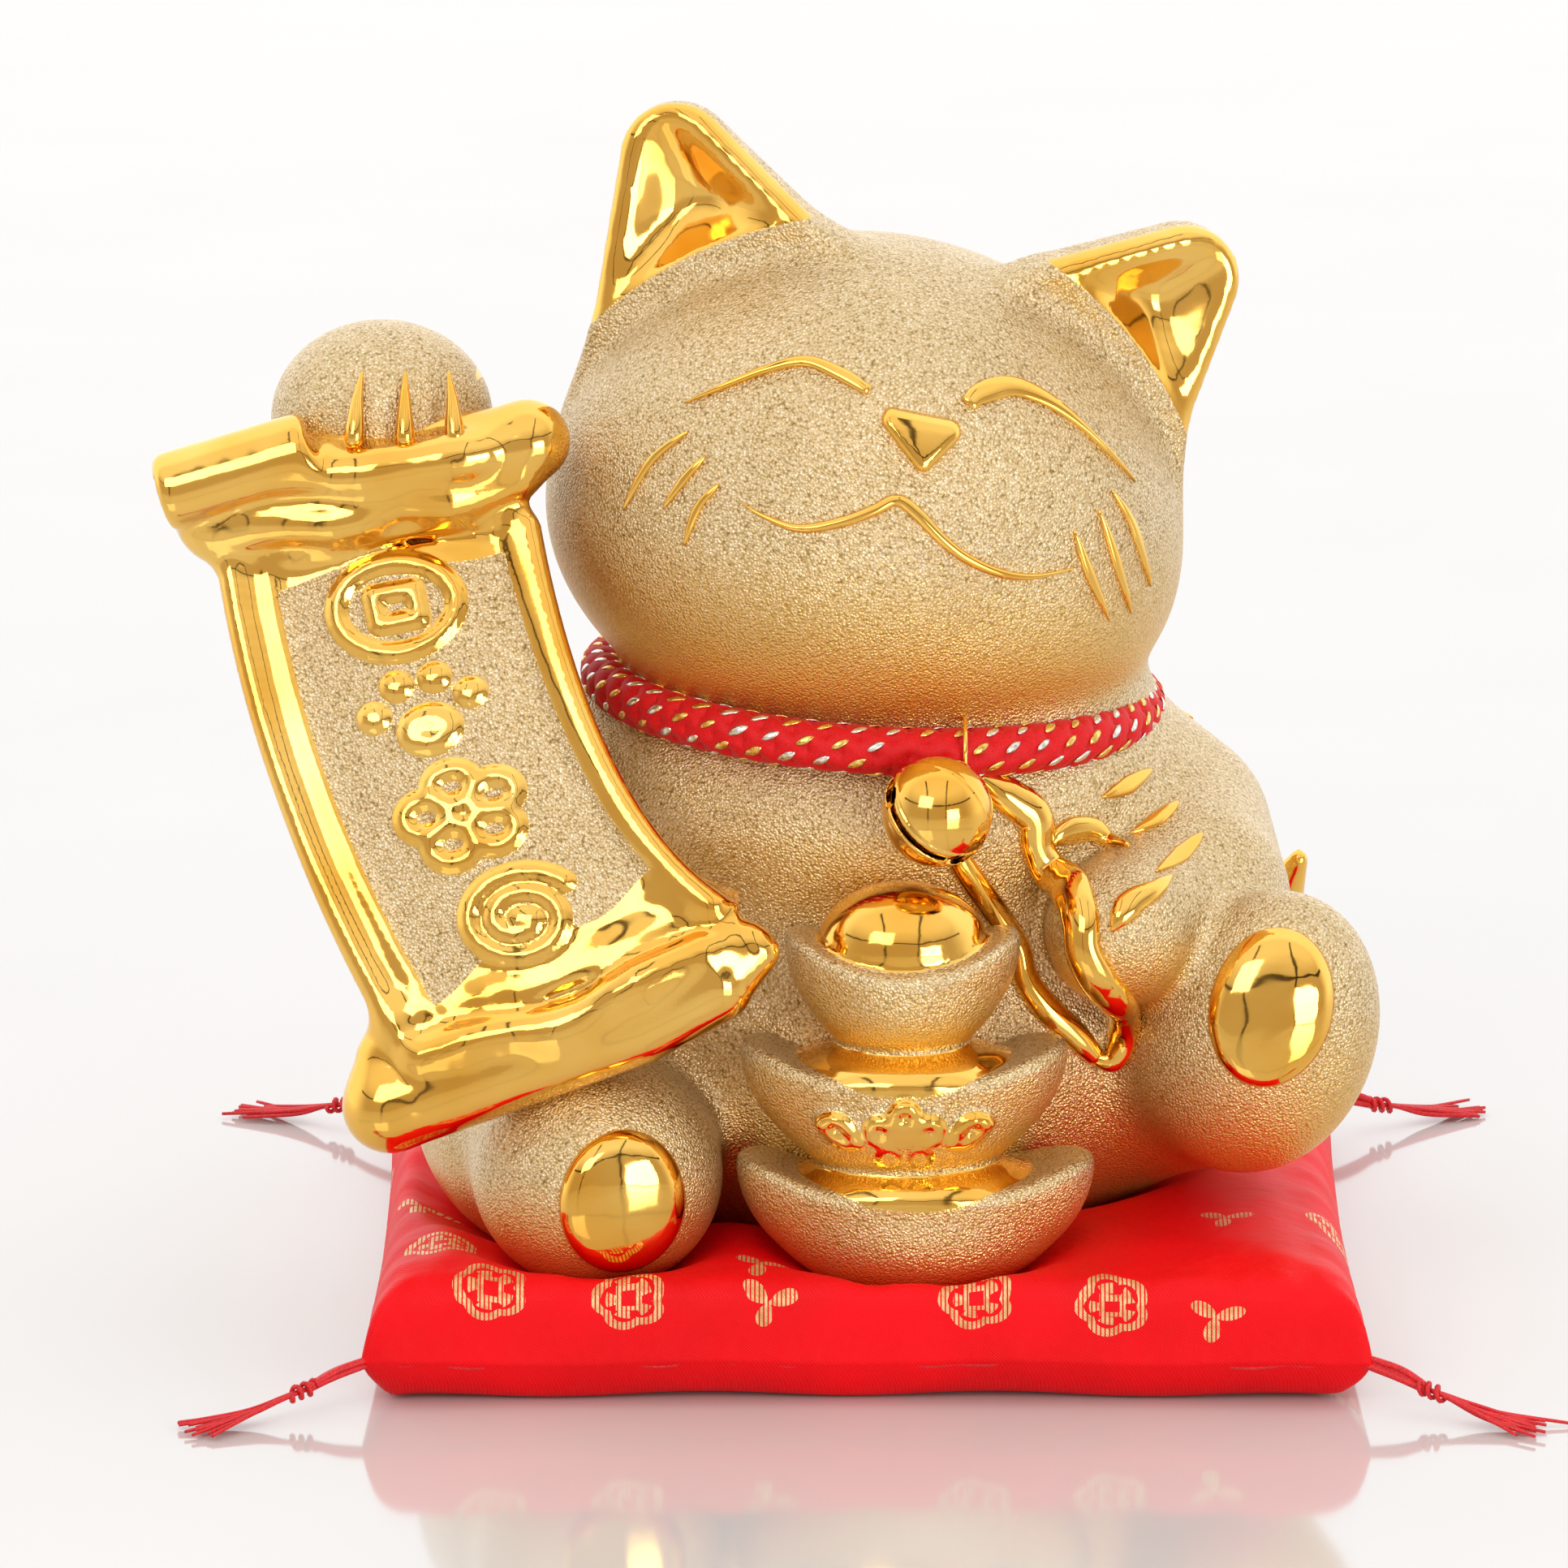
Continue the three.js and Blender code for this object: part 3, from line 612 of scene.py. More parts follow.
HEAD_SHAPES = [
    (egg(HEAD, (34.8, 31, 28.8), HEAD_TURN), 2.5),
    (egg(on_head(0, -1.5, -7), (34.9, 30.5, 22), HEAD_TURN), 10),
]
TORSO_SHAPES = [
    (egg((0, 3, 32), (45, 39, 30)), 0),
    (egg((1, 0, 59), (38, 33, 21)), 9),
]
LEFT_FOOT_TURN = euler(0, 15, 0)
LEFT_FOOT = egg((45.6, -29, 36.6), (12.9, 10.5, 16.6), LEFT_FOOT_TURN)
RIGHT_FOOT = egg((-30.6, -38, 22.4), (14.3, 12.5, 13.6))
PAW = egg((-55.4, -9, 104), (12.7, 12.3, 11.2))
TAIL_TIP = (51.4, 19, 44.6)
TAIL = tube([(22, 37, 16), (34, 36, 19), (43, 31, 27), (48, 25, 35), TAIL_TIP], (7.2, 7.0, 5.8, 4.0, 1.2))
FAR = 9.0  # a gilt distance that is well outside any lustre


# Each limb's shapes with the softness of its joint.
LIMB_SHAPES = [
    (limb((24, -2, 27), 17, (41, -20, 33), 14), 4),
    (LEFT_FOOT, 4.5),
    (limb((-30, -4, 27), 17.5, (-33, -24, 24), 15), 4),
    (egg((-34, -9, 24), (18.5, 25, 19)), 5),
    (RIGHT_FOOT, 4.5),
    (limb((34, 0, 52), 13.5, (36, -14, 48), 13), 4),
    (limb((36, -16, 48), 11.5, (29, -31, 49), 8.6), 2.5),
    (limb((-30, -2, 55), 13, (-46, -6, 60), 12), 5),
    (limb((-46, -6, 60), 12, (-56, -8, 91), 10.5), 5),
    (PAW, 4),
    (TAIL, 3),
]


def make_skin():
    clay = Clay((-74, -56, SEAT_Z - 3), (64, 50, 146), 0.64)
    for shape, soft in TORSO_SHAPES + LIMB_SHAPES + HEAD_SHAPES:
        clay.add(shape, soft)
    gilts = []
    for side in (-1, 1):
        solid, gilt = ear(side)
        clay.add(solid, 5)
        gilts.append(gilt)
    clay.keep_above(SEAT_Z + 0.1)
    points, quads = clay.mesh(10)
    gilt = np.full(len(points), FAR)
    for shape in gilts:
        inside = np.all((points > shape.low) & (points < shape.high), axis=1)
        gilt[inside] = np.minimum(gilt[inside], shape(points[inside]))
    tip = np.linalg.norm((points - np.array(TAIL_TIP)) * (1, 1, 0.8), axis=1) - 8.0
    gilt = np.minimum(gilt, np.where(points[:, 0] > 44, tip, FAR))
    nodes = ["head_shell", "torso_shell", "tail"]
    nodes += [f"{side}_{part}" for side in ("left", "right") for part in ("arm", "leg", "ear", "ear_lining")]
    return ceramic_piece("cat_body", points, quads, nodes, gilt)


skin = make_skin()


def tree_of(piece):
    mesh = piece.data
    points = [v.co / MM for v in mesh.vertices]
    return BVHTree.FromPolygons(points, [p.vertices[:] for p in mesh.polygons])


skin_tree = tree_of(skin)


def seen(across, up):
    """Where the skin shows, and its normal, at a place across and up in the view's own plane."""
    way = np.array([across, 0, 0]) + up * VIEW_UP - VIEW_PLACE
    place, normal, _, _ = skin_tree.ray_cast(Vector(VIEW_PLACE), Vector(way))
    if place is None:
        place, normal, _, _ = skin_tree.find_nearest(Vector((across, -30, up)))
    return np.array(place), np.array(normal)


def averaged(values, rounds=2):
    values = np.array(values, float)
    for _ in range(rounds):
        inner = (values[:-2] + 2 * values[1:-1] + values[2:]) / 4
        values = np.vstack([values[:1], inner, values[-1:]])
    return values


def bead_strand(route, width, height, count=40, ends=(0.2, 0.2), evening=4):
    """A raised line on the skin. Its route is across and up in the view's plane, or places near the skin."""
    if len(route[0]) == 2:
        hits = [seen(*place) for place in smooth_path(route, count)]
        places = np.array([h[0] for h in hits])
        away = places - VIEW_PLACE
        depth = np.linalg.norm(away, axis=1)
        even = averaged(depth[:, None], evening)[:, 0]
        places = VIEW_PLACE + away * (np.minimum(even, depth + 0.8) / depth)[:, None]
    else:
        hits = [skin_tree.find_nearest(Vector(place))[:2] for place in smooth_path(route, count)]
        places = averaged([h[0] for h in hits])
    normals = averaged([h[1] for h in hits], 8)
    t = np.linspace(0, 1, count)
    taper = np.minimum(1, np.minimum(ends[0] + t * 5, ends[1] + (1 - t) * 5))
    taper = np.sqrt(np.clip(taper, 0, 1))
    wide = np.interp(t, np.linspace(0, 1, len(width)), width)
    return sweep(places + normals * height * 0.2, normals, wide * taper, height * taper)


def bead(name, route, width, height, replaces=(), **shape):
    gold_piece(name, *bead_strand(route, width, height, **shape), replaces)


# Routes are across and up in the view's plane. The cat's own left is to the viewer's right.
EYES = {
    "left": [
        (12.2, 101.2), (13.7, 102.5), (17.3, 103.4), (20.8, 102.2), (24.3, 99.8), (28.3, 96.0), (31.9, 92.2),
    ],
    "right": [(0.7, 102.8), (-2.9, 104.9), (-6.9, 106.3), (-11.4, 105.3), (-15.9, 103.5), (-21.0, 101.4)],
}
MOUTH = [
    (-14.4, 89.7), (-11.4, 88.0), (-7.4, 86.7), (-2.4, 87.5), (1.2, 88.8), (3.9, 90.0),
    (6.2, 88.5), (9.2, 85.4), (12.2, 83.1), (16.3, 81.4), (20.3, 81.1), (24.8, 82.1),
]
WHISKERS = {
    "right": [
        [(-20.5, 98.2), (-25.0, 94.5), (-28.2, 88.8)],
        [(-18.5, 95.2), (-21.0, 92.5), (-23.5, 89.0)],
        [(-16.9, 92.0), (-19.5, 89.0), (-21.0, 84.7)],
    ],
    "left": [
        [(29.1, 91.2), (31.6, 86.9), (33.7, 79.9)],
        [(27.5, 89.0), (29.3, 83.9), (31.4, 76.7)],
        [(24.6, 86.6), (26.3, 81.9), (28.8, 75.9)],
    ],
}
FINE_ENDS = (0.02, 0.02)


def make_face():
    for name, inner, wide in (("right", 1.0, 0.55), ("left", 1.6, 0.75)):
        widths = (inner, inner * 0.75, 0.45, 0.25)
        bead(f"{name}_eye_arc", EYES[name], widths, 0.55, [f"{name}_eye_line"], ends=(0.35, 0.02))
        for i, route in enumerate(WHISKERS[name]):
            node = f"{name}_whisker_{i + 1}"
            bead(node + "_line", route, (0.35, wide, 0.3), 0.45, [node], ends=FINE_ENDS, count=24)
    bead("mouth_line", MOUTH, (0.35, 0.6, 0.75, 0.6, 0.35), 0.6, ["mouth"], ends=FINE_ENDS, count=90)


def pad_on(name, node, outline, hosts, height, soft, step, margin, wobble=0.0):
    """A raised pad that follows the surface below it: outline is a distance seen from the front."""
    low, high = box_mm(node)
    low, high = low - margin, high + margin
    clay = Clay(low, high, step)

    def distance(x, y, z):
        skin_distance = hosts[0].distance(x, y, z)
        for host in hosts[1:]:
            skin_distance = blend_min(skin_distance, host.distance(x, y, z), 4)
        ripple = wobble * np.sin(0.9 * x + 1.3) * np.sin(0.8 * z + 0.4) * np.cos(0.35 * x - 0.5 * z)
        pad = blend_max(outline(x, y, z), skin_distance - height + ripple, soft)
        return np.maximum(pad, -skin_distance - 1.2)

    clay.add(Shape(distance, low, high))
    gold_piece(name, *clay.mesh(2), [node])


def nose_outline(x, y, z):
    u, _, w = turned(HEAD_TURN, HEAD, x, y, z)
    return triangle_distance(u, w, [(-3.3, 13.6), (0.7, 10.0), (3.4, 13.4)]) - 1.3


def make_pads():
    feet = [
        ("right", RIGHT_FOOT, (7.3, 8.7), None, 0.04),
        ("left", LEFT_FOOT, (7.2, 9.1), LEFT_FOOT_TURN, 0.05),
    ]
    for side, foot, (across, up), turn, wobble in feet:
        node = f"{side}_foot_pad"
        outline = egg(np.mean(box_mm(node), axis=0), (across, 60, up), turn).distance
        pad_on(f"{side}_sole_pad", node, outline, [foot], 1.3, 2.2, 0.45, 3, wobble)
    pad_on("nose_pad", "nose", nose_outline, [shape for shape, _ in HEAD_SHAPES], 1.6, 1.5, 0.28, 2)


make_face()
make_pads()

# ---------------------------------------------------------------- scroll

SHEET_TOP_Y, SHEET_DROP_Y, SHEET_FLARE, SHEET_BULGE = -18.5, -23.0, 5.0, 1.4
SHEET_WIDE, SHEET_LONG = 34, 44


def sheet_sides(v):
    """Where the sheet's left and right edges run, seen from the front, at a share v of the way down."""
    left = (-72.2 + 8.5 * v + 12 * v * v, 88.9 - 50 * v)
    right = (-38.4 + 8 * v + 8 * v * v + SHEET_FLARE * np.clip(v, 0, 1.1) ** 6, 93.9 - 38.5 * v)
    return left, right


def sheet_place(u, v, out=0.0):
    """A place on the scroll's front: u across from the cat's right, v down, out towards the viewer."""
    u, v = np.asarray(u, float), np.asarray(v, float)
    left, right = sheet_sides(v)
    x = left[0] + (right[0] - left[0]) * u
    z = left[1] + (right[1] - left[1]) * u
    y = SHEET_TOP_Y + SHEET_DROP_Y * v - SHEET_BULGE * np.sin(np.pi * u) - out
    return np.stack([x, y, z + 0 * y], axis=-1)


def sheet_coordinates(x, z):
    """The across and down coordinates of the sheet at a place seen from the front."""
    v = np.clip((91.4 - z) / SHEET_LONG, -0.3, 1.3) + 0 * x
    for _ in range(6):
        left, right = sheet_sides(v)
        u = (x - left[0]) / (right[0] - left[0])
        v = np.clip(v + (left[1] + (right[1] - left[1]) * u - z) / (50 - 11.5 * u), -0.4, 1.4)
    return u, v


def sheet_shape(thickness):
    """The bent slab of the scroll's sheet."""

    def distance(x, y, z):
        u, v = sheet_coordinates(x, z)
        middle = SHEET_TOP_Y + SHEET_DROP_Y * v - SHEET_BULGE * np.sin(np.pi * np.clip(u, 0, 1))
        thick = np.abs(y - middle) * 0.9 - thickness
        sides = (np.abs(u - 0.5) - 0.5) * SHEET_WIDE
        ends = np.maximum(-v, v - 1) * SHEET_LONG
        return np.maximum(np.maximum(thick, sides), ends)

    return Shape(distance, (-78, -50, 36), (-16, -8, 98))


def frame_distance(points):
    """Below zero on the scroll's gilt frame, rods and folds, above it on the sandy panel inside them."""
    u, v = sheet_coordinates(points[:, 0], points[:, 2])
    top = 0.035 + 0.02 * np.sin(9 * u + 0.6)
    bottom = 0.93 + 0.02 * np.sin(11 * u) - 0.035 * u
    sides = np.minimum(u - 0.14, 0.905 + 0.055 * v - u) * SHEET_WIDE
    ends = np.minimum(v - top, bottom - v) * SHEET_LONG
    front = SHEET_TOP_Y + SHEET_DROP_Y * v + 1.0 - points[:, 1]
    return np.where(front > 0, np.minimum(sides, ends), -1.0)


def ring_route(radius, count=28, squash=1.0):
    turn = np.linspace(0, 2 * math.pi, count)
    return np.stack([radius * np.cos(turn), squash * radius * np.sin(turn)], axis=1)


def moved(route, dx, dz):
    return route + np.array([dx, dz])


def petals(radius, count, wide, tall):
    """Five small loops round a middle."""
    turns = math.pi / 2 + 2 * math.pi / 5 * np.arange(5)
    return [moved(ring_route(radius, count), wide * math.cos(a), tall * math.sin(a)) for a in turns]


def coin_motif():
    square = 1.9 * np.array([(-1, -1), (1, -1), (1, 1), (-1, 1), (-1, -1)])
    return [ring_route(5.6), square]


def flower_motif():
    return petals(2.05, 16, 3.5, 3.5) + [ring_route(1.1, 10)]


def paw_motif():
    """A cat's paw print, of loops so small that their middles close up."""
    toes = [(-4.6, 0.6), (-1.8, 3.6), (1.8, 3.6), (4.6, 0.6)]
    pads = [moved(ring_route(2.1, 14, 0.9), 0, -2.4), moved(ring_route(0.9, 8), 0, -2.5)]
    return [moved(ring_route(0.6, 8), *toe) for toe in toes] + pads


def swirl_motif():
    t = np.linspace(0, 1, 48)
    turn = 0.3 + t * 1.9 * 2 * math.pi
    reach = 5.4 * (1 - 0.78 * t)
    return [np.stack([reach * np.cos(turn), reach * np.sin(turn)], axis=1), ring_route(0.3, 6)]


# The folds of cloth, in the order that they are laid on: each has a route, its radii and how softly it joins.
TOP_FOLDS = [
    ([(-64.8, -20.8, 100.6), (-58.9, -22.4, 100.2), (-53, -22.8, 101.2), (-46, -22.2, 102.2),
      (-40.6, -20, 103)],
     (3.2, 3.2, 3.0, 3.1, 3.2, 3.1, 2.9, 2.8, 2.9, 3.1, 3.1, 2.9, 2.7, 2.6), 2),
    ([(-73.5, -20, 92.6), (-66.4, -21.6, 94.4), (-59, -22.6, 94.9), (-52.7, -22.4, 97.4), (-46.7, -22, 97.2),
      (-40.0, -20.2, 99.4)],
     (3.2, 3.0, 2.8, 2.7, 2.8, 2.9, 2.7, 2.5, 2.6, 2.8, 2.7, 2.5, 2.6, 2.8), 2),
    ([(-72.6, -20.2, 89.6), (-64.5, -21.6, 90.6), (-57, -22.2, 93.2), (-50, -22, 94.6), (-40, -20.6, 95.2)],
     [1.5] * 12, 1.6),
]
BOTTOM_FOLDS = [
    ([(-50, -46.2, 38.2), (-42, -47, 41), (-34, -47.6, 42.2), (-27, -48.2, 46.6), (-20, -47.4, 50),
      (-13.6, -45.6, 52)],
     (2.0, 2.2, 2.3, 2.1, 2.0, 2.3, 2.6, 2.4, 2.2, 2.4, 2.6, 2.4, 2.2, 2.2, 1.9, 1.4), 2),
    ([(-53, -41.8, 41.5), (-42, -43.4, 44.4), (-32, -44, 47.6), (-24, -43.4, 51.8), (-19, -42, 54.6)],
     (2.2, 2.5, 2.2, 1.9, 2.3, 2.6, 2.2, 1.9, 2.2, 2.6, 2.4, 2.1, 2.3, 2.2), 2),
]
# The rolled edges beside the panel: each one's place across, its drift, its thickness and its height.
RAILS = [(0.0, 0.0, 1.5, 1.2), (0.115, 0.0, 0.9, 0.6), (1.0, 0.0, 1.3, 1.2), (0.935, 0.045, 0.8, 0.6)]
MOTIF_WIDE, MOTIF_TALL = 1.18 / 33, 0.87 / 47  # a motif's millimetre as a share of the sheet


def lay_folds(clay, folds):
    for route, radii, soft in folds:
        clay.add(tube(smooth_path(route, len(radii)), radii), soft)


def lay_top_rod(clay):
    """A rolled edge with a wider roll at each end, and cloth folds running under the paw."""
    edge = [(-74.6, -18.6, 94.4), (-70, -19, 95.6), (-62, -18.4, 100), (-56, -17, 102.6)]
    clay.add(tube(edge, (4.3, 4.5, 4.4, 4)), 1)
    clay.add(roll((-80.2, -20.2, 97.4), (-62.8, -20.6, 102.8), 4.6, 1.5), 0.3)
    clay.cut(egg((-80.6, -20.2, 97.2), (1.3, 2.9, 2.9)), 0.5)
    clay.add(tube([(-56, -17, 102), (-46, -17.4, 102.4), (-39, -18, 103.2)], (4.2, 4.0, 4.2)), 1)
    clay.add(egg((-38.4, -18, 103.2), (4.7, 5.0, 4.6)), 1.6)
    lay_folds(clay, TOP_FOLDS)


def lay_bottom_rod(clay):
    """A thick roll that tapers and flares up to its point, with a fold of cloth along its front."""
    route = [(-53.8, -43, 31.6), (-50, -43.4, 33), (-38, -44, 37.5), (-26, -45, 42), (-17, -45.5, 46.6),
             (-12.2, -45.4, 50.2)]
    clay.add(tube(route, (5.2, 5.2, 5.2, 5.0, 4.4, 2.4)), 1.2)
    clay.add(tube([(-54.4, -42.6, 31.5), (-54.4, -41.6, 37), (-53.0, -41.4, 41)], (4.2, 3.4, 2.8)), 2.5)
    lay_folds(clay, BOTTOM_FOLDS)
    clay.add(tube([(-23, -41.6, 56.4), (-18.6, -43, 54), (-13, -45, 51.4)], (2.4, 2.2, 1.6)), 1.5)


def make_scroll():
    clay = Clay((-90, -58, 20), (-2, -2, 116), 0.5)
    clay.add(sheet_shape(3.0))
    gilt = []

    def gild(shape, soft):
        clay.add(shape, soft)
        gilt.append(shape)

    t = np.linspace(0, 1, 22)
    for start, drift, thick, out in RAILS:
        radii = thick * np.interp(t, [0, 0.5, 1], [1.1, 1, 1.2])
        gild(tube(sheet_place(start + drift * t, t, out + 2.2), radii), 1.6)
    for u in (0.055, 0.965):
        clay.add(tube(sheet_place(u + 0 * t, t, 1.6), 2.0), 1.2)
    lay_top_rod(clay)
    lay_bottom_rod(clay)
    for i, motif in enumerate((coin_motif(), paw_motif(), flower_motif(), swirl_motif())):
        v0 = 0.135 + 0.243 * i
        for route in motif:
            places = sheet_place(0.52 + route[:, 0] * MOTIF_WIDE, v0 - route[:, 1] * MOTIF_TALL, 3.1)
            gild(tube(places, 1.1), 0.9)
    points, quads = clay.mesh(2)
    distance = np.full(len(points), FAR)
    for shape in gilt:
        near = np.all((points > shape.low - 1) & (points < shape.high + 1), axis=1)
        distance[near] = np.minimum(distance[near], shape(points[near]))
    distance = np.minimum(distance - 0.35, frame_distance(points))
    nodes = [f"scroll_{part}" for part in ("top_rod", "bottom_rod", "sheet", "edge_left", "edge_right")]
    nodes += [f"scroll_ornament_{i + 1}" for i in range(4)]
    ceramic_piece("scroll", points, quads, nodes, distance)


def make_raised_claws():
    count = 24
    width = 0.15 + 1.25 * np.linspace(0, 1, count) ** 0.9
    width[-4:] *= (0.95, 0.85, 0.7, 0.4)
    for i in range(3):
        x = -57.8 + 5.4 * i
        lean = 0.5 * (i - 1)
        route = [(x - lean, -18.6, 111.4), (x, -20.9, 108.6)]
        route += [(x + lean * 0.4, -22.2, 106), (x + lean, -22.8, 103.4)]
        claw = sweep(smooth_path(route, count), np.tile((0, -0.9, 0.35), (count, 1)), width, width)
        gold_piece(f"raised_paw_claw_{i + 1}", *claw, [f"raised_claw_{i + 1}"])


make_scroll()
make_raised_claws()

# ---------------------------------------------------------------- ingots

# How deep and how tall each boat's hull is, and how far it stands back from the front of its CAD box.
INGOTS = {"bottom": (10.5, 15.2, 2.4), "middle": (10.5, 14.6, 0.6), "top": (9.6, 13.2, 0.0)}


def blossom_motif():
    """A five-petalled blossom between two leaves."""
    t = np.linspace(0, 1, 8)
    leaves = []
    for side in (-1, 1):
        for bend in (1.5, -1.1):
            rise = 2.0 * t - 0.6 + bend * np.sin(np.pi * t)
            leaves.append(np.stack([side * (5.2 + 4.2 * t), rise], axis=1))
    return petals(1.2, 12, 2.9, 2.7) + leaves + [ring_route(0.5, 8)]


def boat_shape(centre, half, deep, tall):
    x, y, z = centre
    hull = egg(centre, (half, deep, tall))
    keel = egg((x, y, z - 0.52 * tall), (0.66 * half, 0.94 * deep, 0.5 * tall))
    hollow = egg((x, y, z + 5.6), (half * 1.04, deep * 2.6, 8.4))

    def distance(px, py, pz):
        body = blend_min(hull.distance(px, py, pz), keel.distance(px, py, pz), 3)
        body = blend_max(body, -hollow.distance(px, py, pz), 1.8)
        return blend_max(body, pz - z - 1.2, 1.5)

    return Shape(distance, hull.low, hull.high)


def make_ingots():
    clay = Clay((-18, -58, SEAT_Z - 2), (29, -20, 59), 0.5)
    gilt, boats = [], {}
    for name, (deep, tall, back) in INGOTS.items():
        low, high = box_mm(f"{name}_ingot")
        half = (high[0] - low[0]) / 2
        x, y, z = (low[0] + high[0]) / 2, low[1] + back + deep, high[2]
        boats[name] = (x, y, z), half
        clay.add(boat_shape((x, y, z), half, deep, tall), 1.4)
        if name == "top":
            dome = egg((x, y + 0.4, z - 1.2), (half * 0.73, deep * 0.84, 7.4))
        else:
            dome = egg((x, y - 0.3, z - 2.3), (half * 0.7, deep * 0.97, 3.5))
        clay.add(dome, 0.8)
        gilt.append(dome)
    low, high = box_mm("ingot_ornament")
    x0, z0 = (low[0] + high[0]) / 2, (low[2] + high[2]) / 2 - 1.1
    (x, y, z), half = boats["middle"]
    deep, tall, _ = INGOTS["middle"]
    for route in blossom_motif():
        px, pz = moved(route, x0, z0).T
        inner = 1 - ((px - x) / half) ** 2 - ((pz - z) / tall) ** 2
        py = y - deep * np.sqrt(np.maximum(inner, 0.3)) - 0.9
        line = tube(np.stack([px, py, pz], axis=1), 0.72)
        clay.add(line, 0.6)
        gilt.append(line)
    clay.keep_above(SEAT_Z + 0.2)
    points, quads = clay.mesh(2)
    distance = np.min([shape(points) for shape in gilt], axis=0)
    nodes = [f"{name}_{part}" for name in INGOTS for part in ("ingot", "ingot_dome")] + ["ingot_ornament"]
    return ceramic_piece("ingot_stack", points, quads, nodes, distance - 0.3)


ingots = make_ingots()

# ---------------------------------------------------------------- relief on the body

RIBBON_WIDE = [
    (13.4, 57.4), (17.1, 55.1), (19.9, 52.8), (20.2, 49.6), (21.6, 46.8), (24.3, 44.5), (25.7, 40.8),
    (26.0, 37.1), (27.7, 33.9), (30.2, 30.7), (30.8, 27.0), (29.4, 24.4), (27.0, 24.6),
]
RIBBON_SLIM = [
    (10.2, 49.4), (12.5, 45.9), (15.7, 41.3), (18.0, 37.6), (18.9, 33.9), (21.2, 30.5), (24.0, 27.9),
    (27.2, 24.6),
]
PAW_CLAWS = [
    [(21.2, 49.3), (23.6, 51.0), (26.8, 51.4), (28.6, 50.1), (31.2, 49.3)],
    [(29.1, 39.4), (31.4, 42.7), (34.2, 44.3), (36.2, 45.9)],
]
FUR_STROKES = [
    [(27.9, 55.1), (30.9, 56.5), (33.9, 58.5)],
    [(31.4, 50.8), (34.2, 52.4), (37.1, 54.7)],
    [(34.3, 46.4), (36.9, 48.2), (39.9, 51.0)],
]
BACK_STRIPES = [
    [(38, 4, 65), (36, 16, 66), (28, 30, 65)],
    [(46, 6, 58), (43, 20, 58), (34, 34, 56)],
    [(49, -1, 52), (48, 5, 51), (46, 12, 51)],
]


def make_relief():
    wide = bead_strand(RIBBON_WIDE, (1.8, 2.4, 2.0, 2.6, 2.2, 2.5, 2.3, 1.7), 1.7, 110, (0.6, 0.3), 60)
    slim = bead_strand(RIBBON_SLIM, (1.4, 1.6, 1.5, 1.8, 1.5), 1.5, 70, (0.6, 0.6), 24)
    gold_piece("belly_ribbon_relief", *gathered([wide, slim]), ["belly_ribbon"])
    for i, route in enumerate(PAW_CLAWS):
        node = f"lowered_claw_{i + 1}"
        bead(node + "_relief", route, (0.7, 1.7, 1.3, 0.5), 0.9, [node], ends=(0.1, 0.1), count=30)
    for i, route in enumerate(FUR_STROKES):
        node = f"fur_stroke_{i + 1}"
        bead(node + "_relief", route, (0.4, 1.1, 0.5), 0.5, [node], ends=FINE_ENDS, count=20)
    for i, route in enumerate(BACK_STRIPES):
        bead(f"back_stripe_{i + 1}", route, (0.5, 1.5, 0.5), 0.6, ends=FINE_ENDS, count=30)


make_relief()

# ---------------------------------------------------------------- neck cord

CORD_RADIUS = 2.8
CORD_CENTRE = np.array([1.0, -1.0, 70.4])
CORD_RING = 31.2
CORD_TILT = euler(0, 3.6, 0)
WEAVE_TURNS, WEAVE_RIDGES = 54, 4  # crossings once round the neck, and ridges once round the cord
FLECKS_PER_ROW, FLECK_ROWS = 52, 8

JOINTS = {joint["name"]: joint for joint in frame["record"]["behaviour"]["joints"]}
LINK = np.array(JOINTS["bell_swing"]["pos_m"]) / MM
BELL_RADIUS = 6.3
BELL_EYE_DISTANCE = 7.2
BELL_UP = -np.array(JOINTS["pellet_slide"]["axis"]) / np.linalg.norm(JOINTS["pellet_slide"]["axis"])
BELL = LINK - BELL_UP * BELL_EYE_DISTANCE
BELL_REACH = 2.2  # the cord has no flecks where the swinging bell comes close to it
RING_RADIUS, RING_WIRE = 4.0, 0.28
RING_CENTRE = LINK + np.array([0, 0.87, 0.5]) / math.hypot(0.87, 0.5) * RING_RADIUS


def cord_place(run, around, lift=0.0):
    """A place on the cord's surface: run round the neck and around its own section, both in radians."""
    radius = CORD_RADIUS + lift
    reach = CORD_RING + radius * np.cos(around)
    local = np.stack([reach * np.sin(run), -reach * np.cos(run), radius * np.sin(around)], axis=-1)
    return CORD_CENTRE + local @ CORD_TILT.T


def braid():
    """The cord's closed surface, with strands that wind both ways and pass over and under each other."""
    along, section = ((1300, 40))
    run = np.linspace(0, 2 * math.pi, along, endpoint=False)[:, None]
    around = np.linspace(0, 2 * math.pi, section, endpoint=False)[None, :]
    left = np.abs(np.sin((WEAVE_TURNS * run + WEAVE_RIDGES * around) / 2))
    right = np.abs(np.sin((WEAVE_TURNS * run - WEAVE_RIDGES * around) / 2))
    lift = 0.7 * (np.maximum(left, right) ** 0.7 - 1.0)
    places = cord_place(run + 0 * around, around + 0 * run, lift)
    i, j = np.meshgrid(np.arange(along), np.arange(section), indexing="ij")
    ni, nj = (i + 1) % along, (j + 1) % section
    corners = [i * section + j, ni * section + j, ni * section + nj, i * section + nj]
    return places.reshape(-1, 3), np.stack(corners, -1).reshape(-1, 4).tolist()


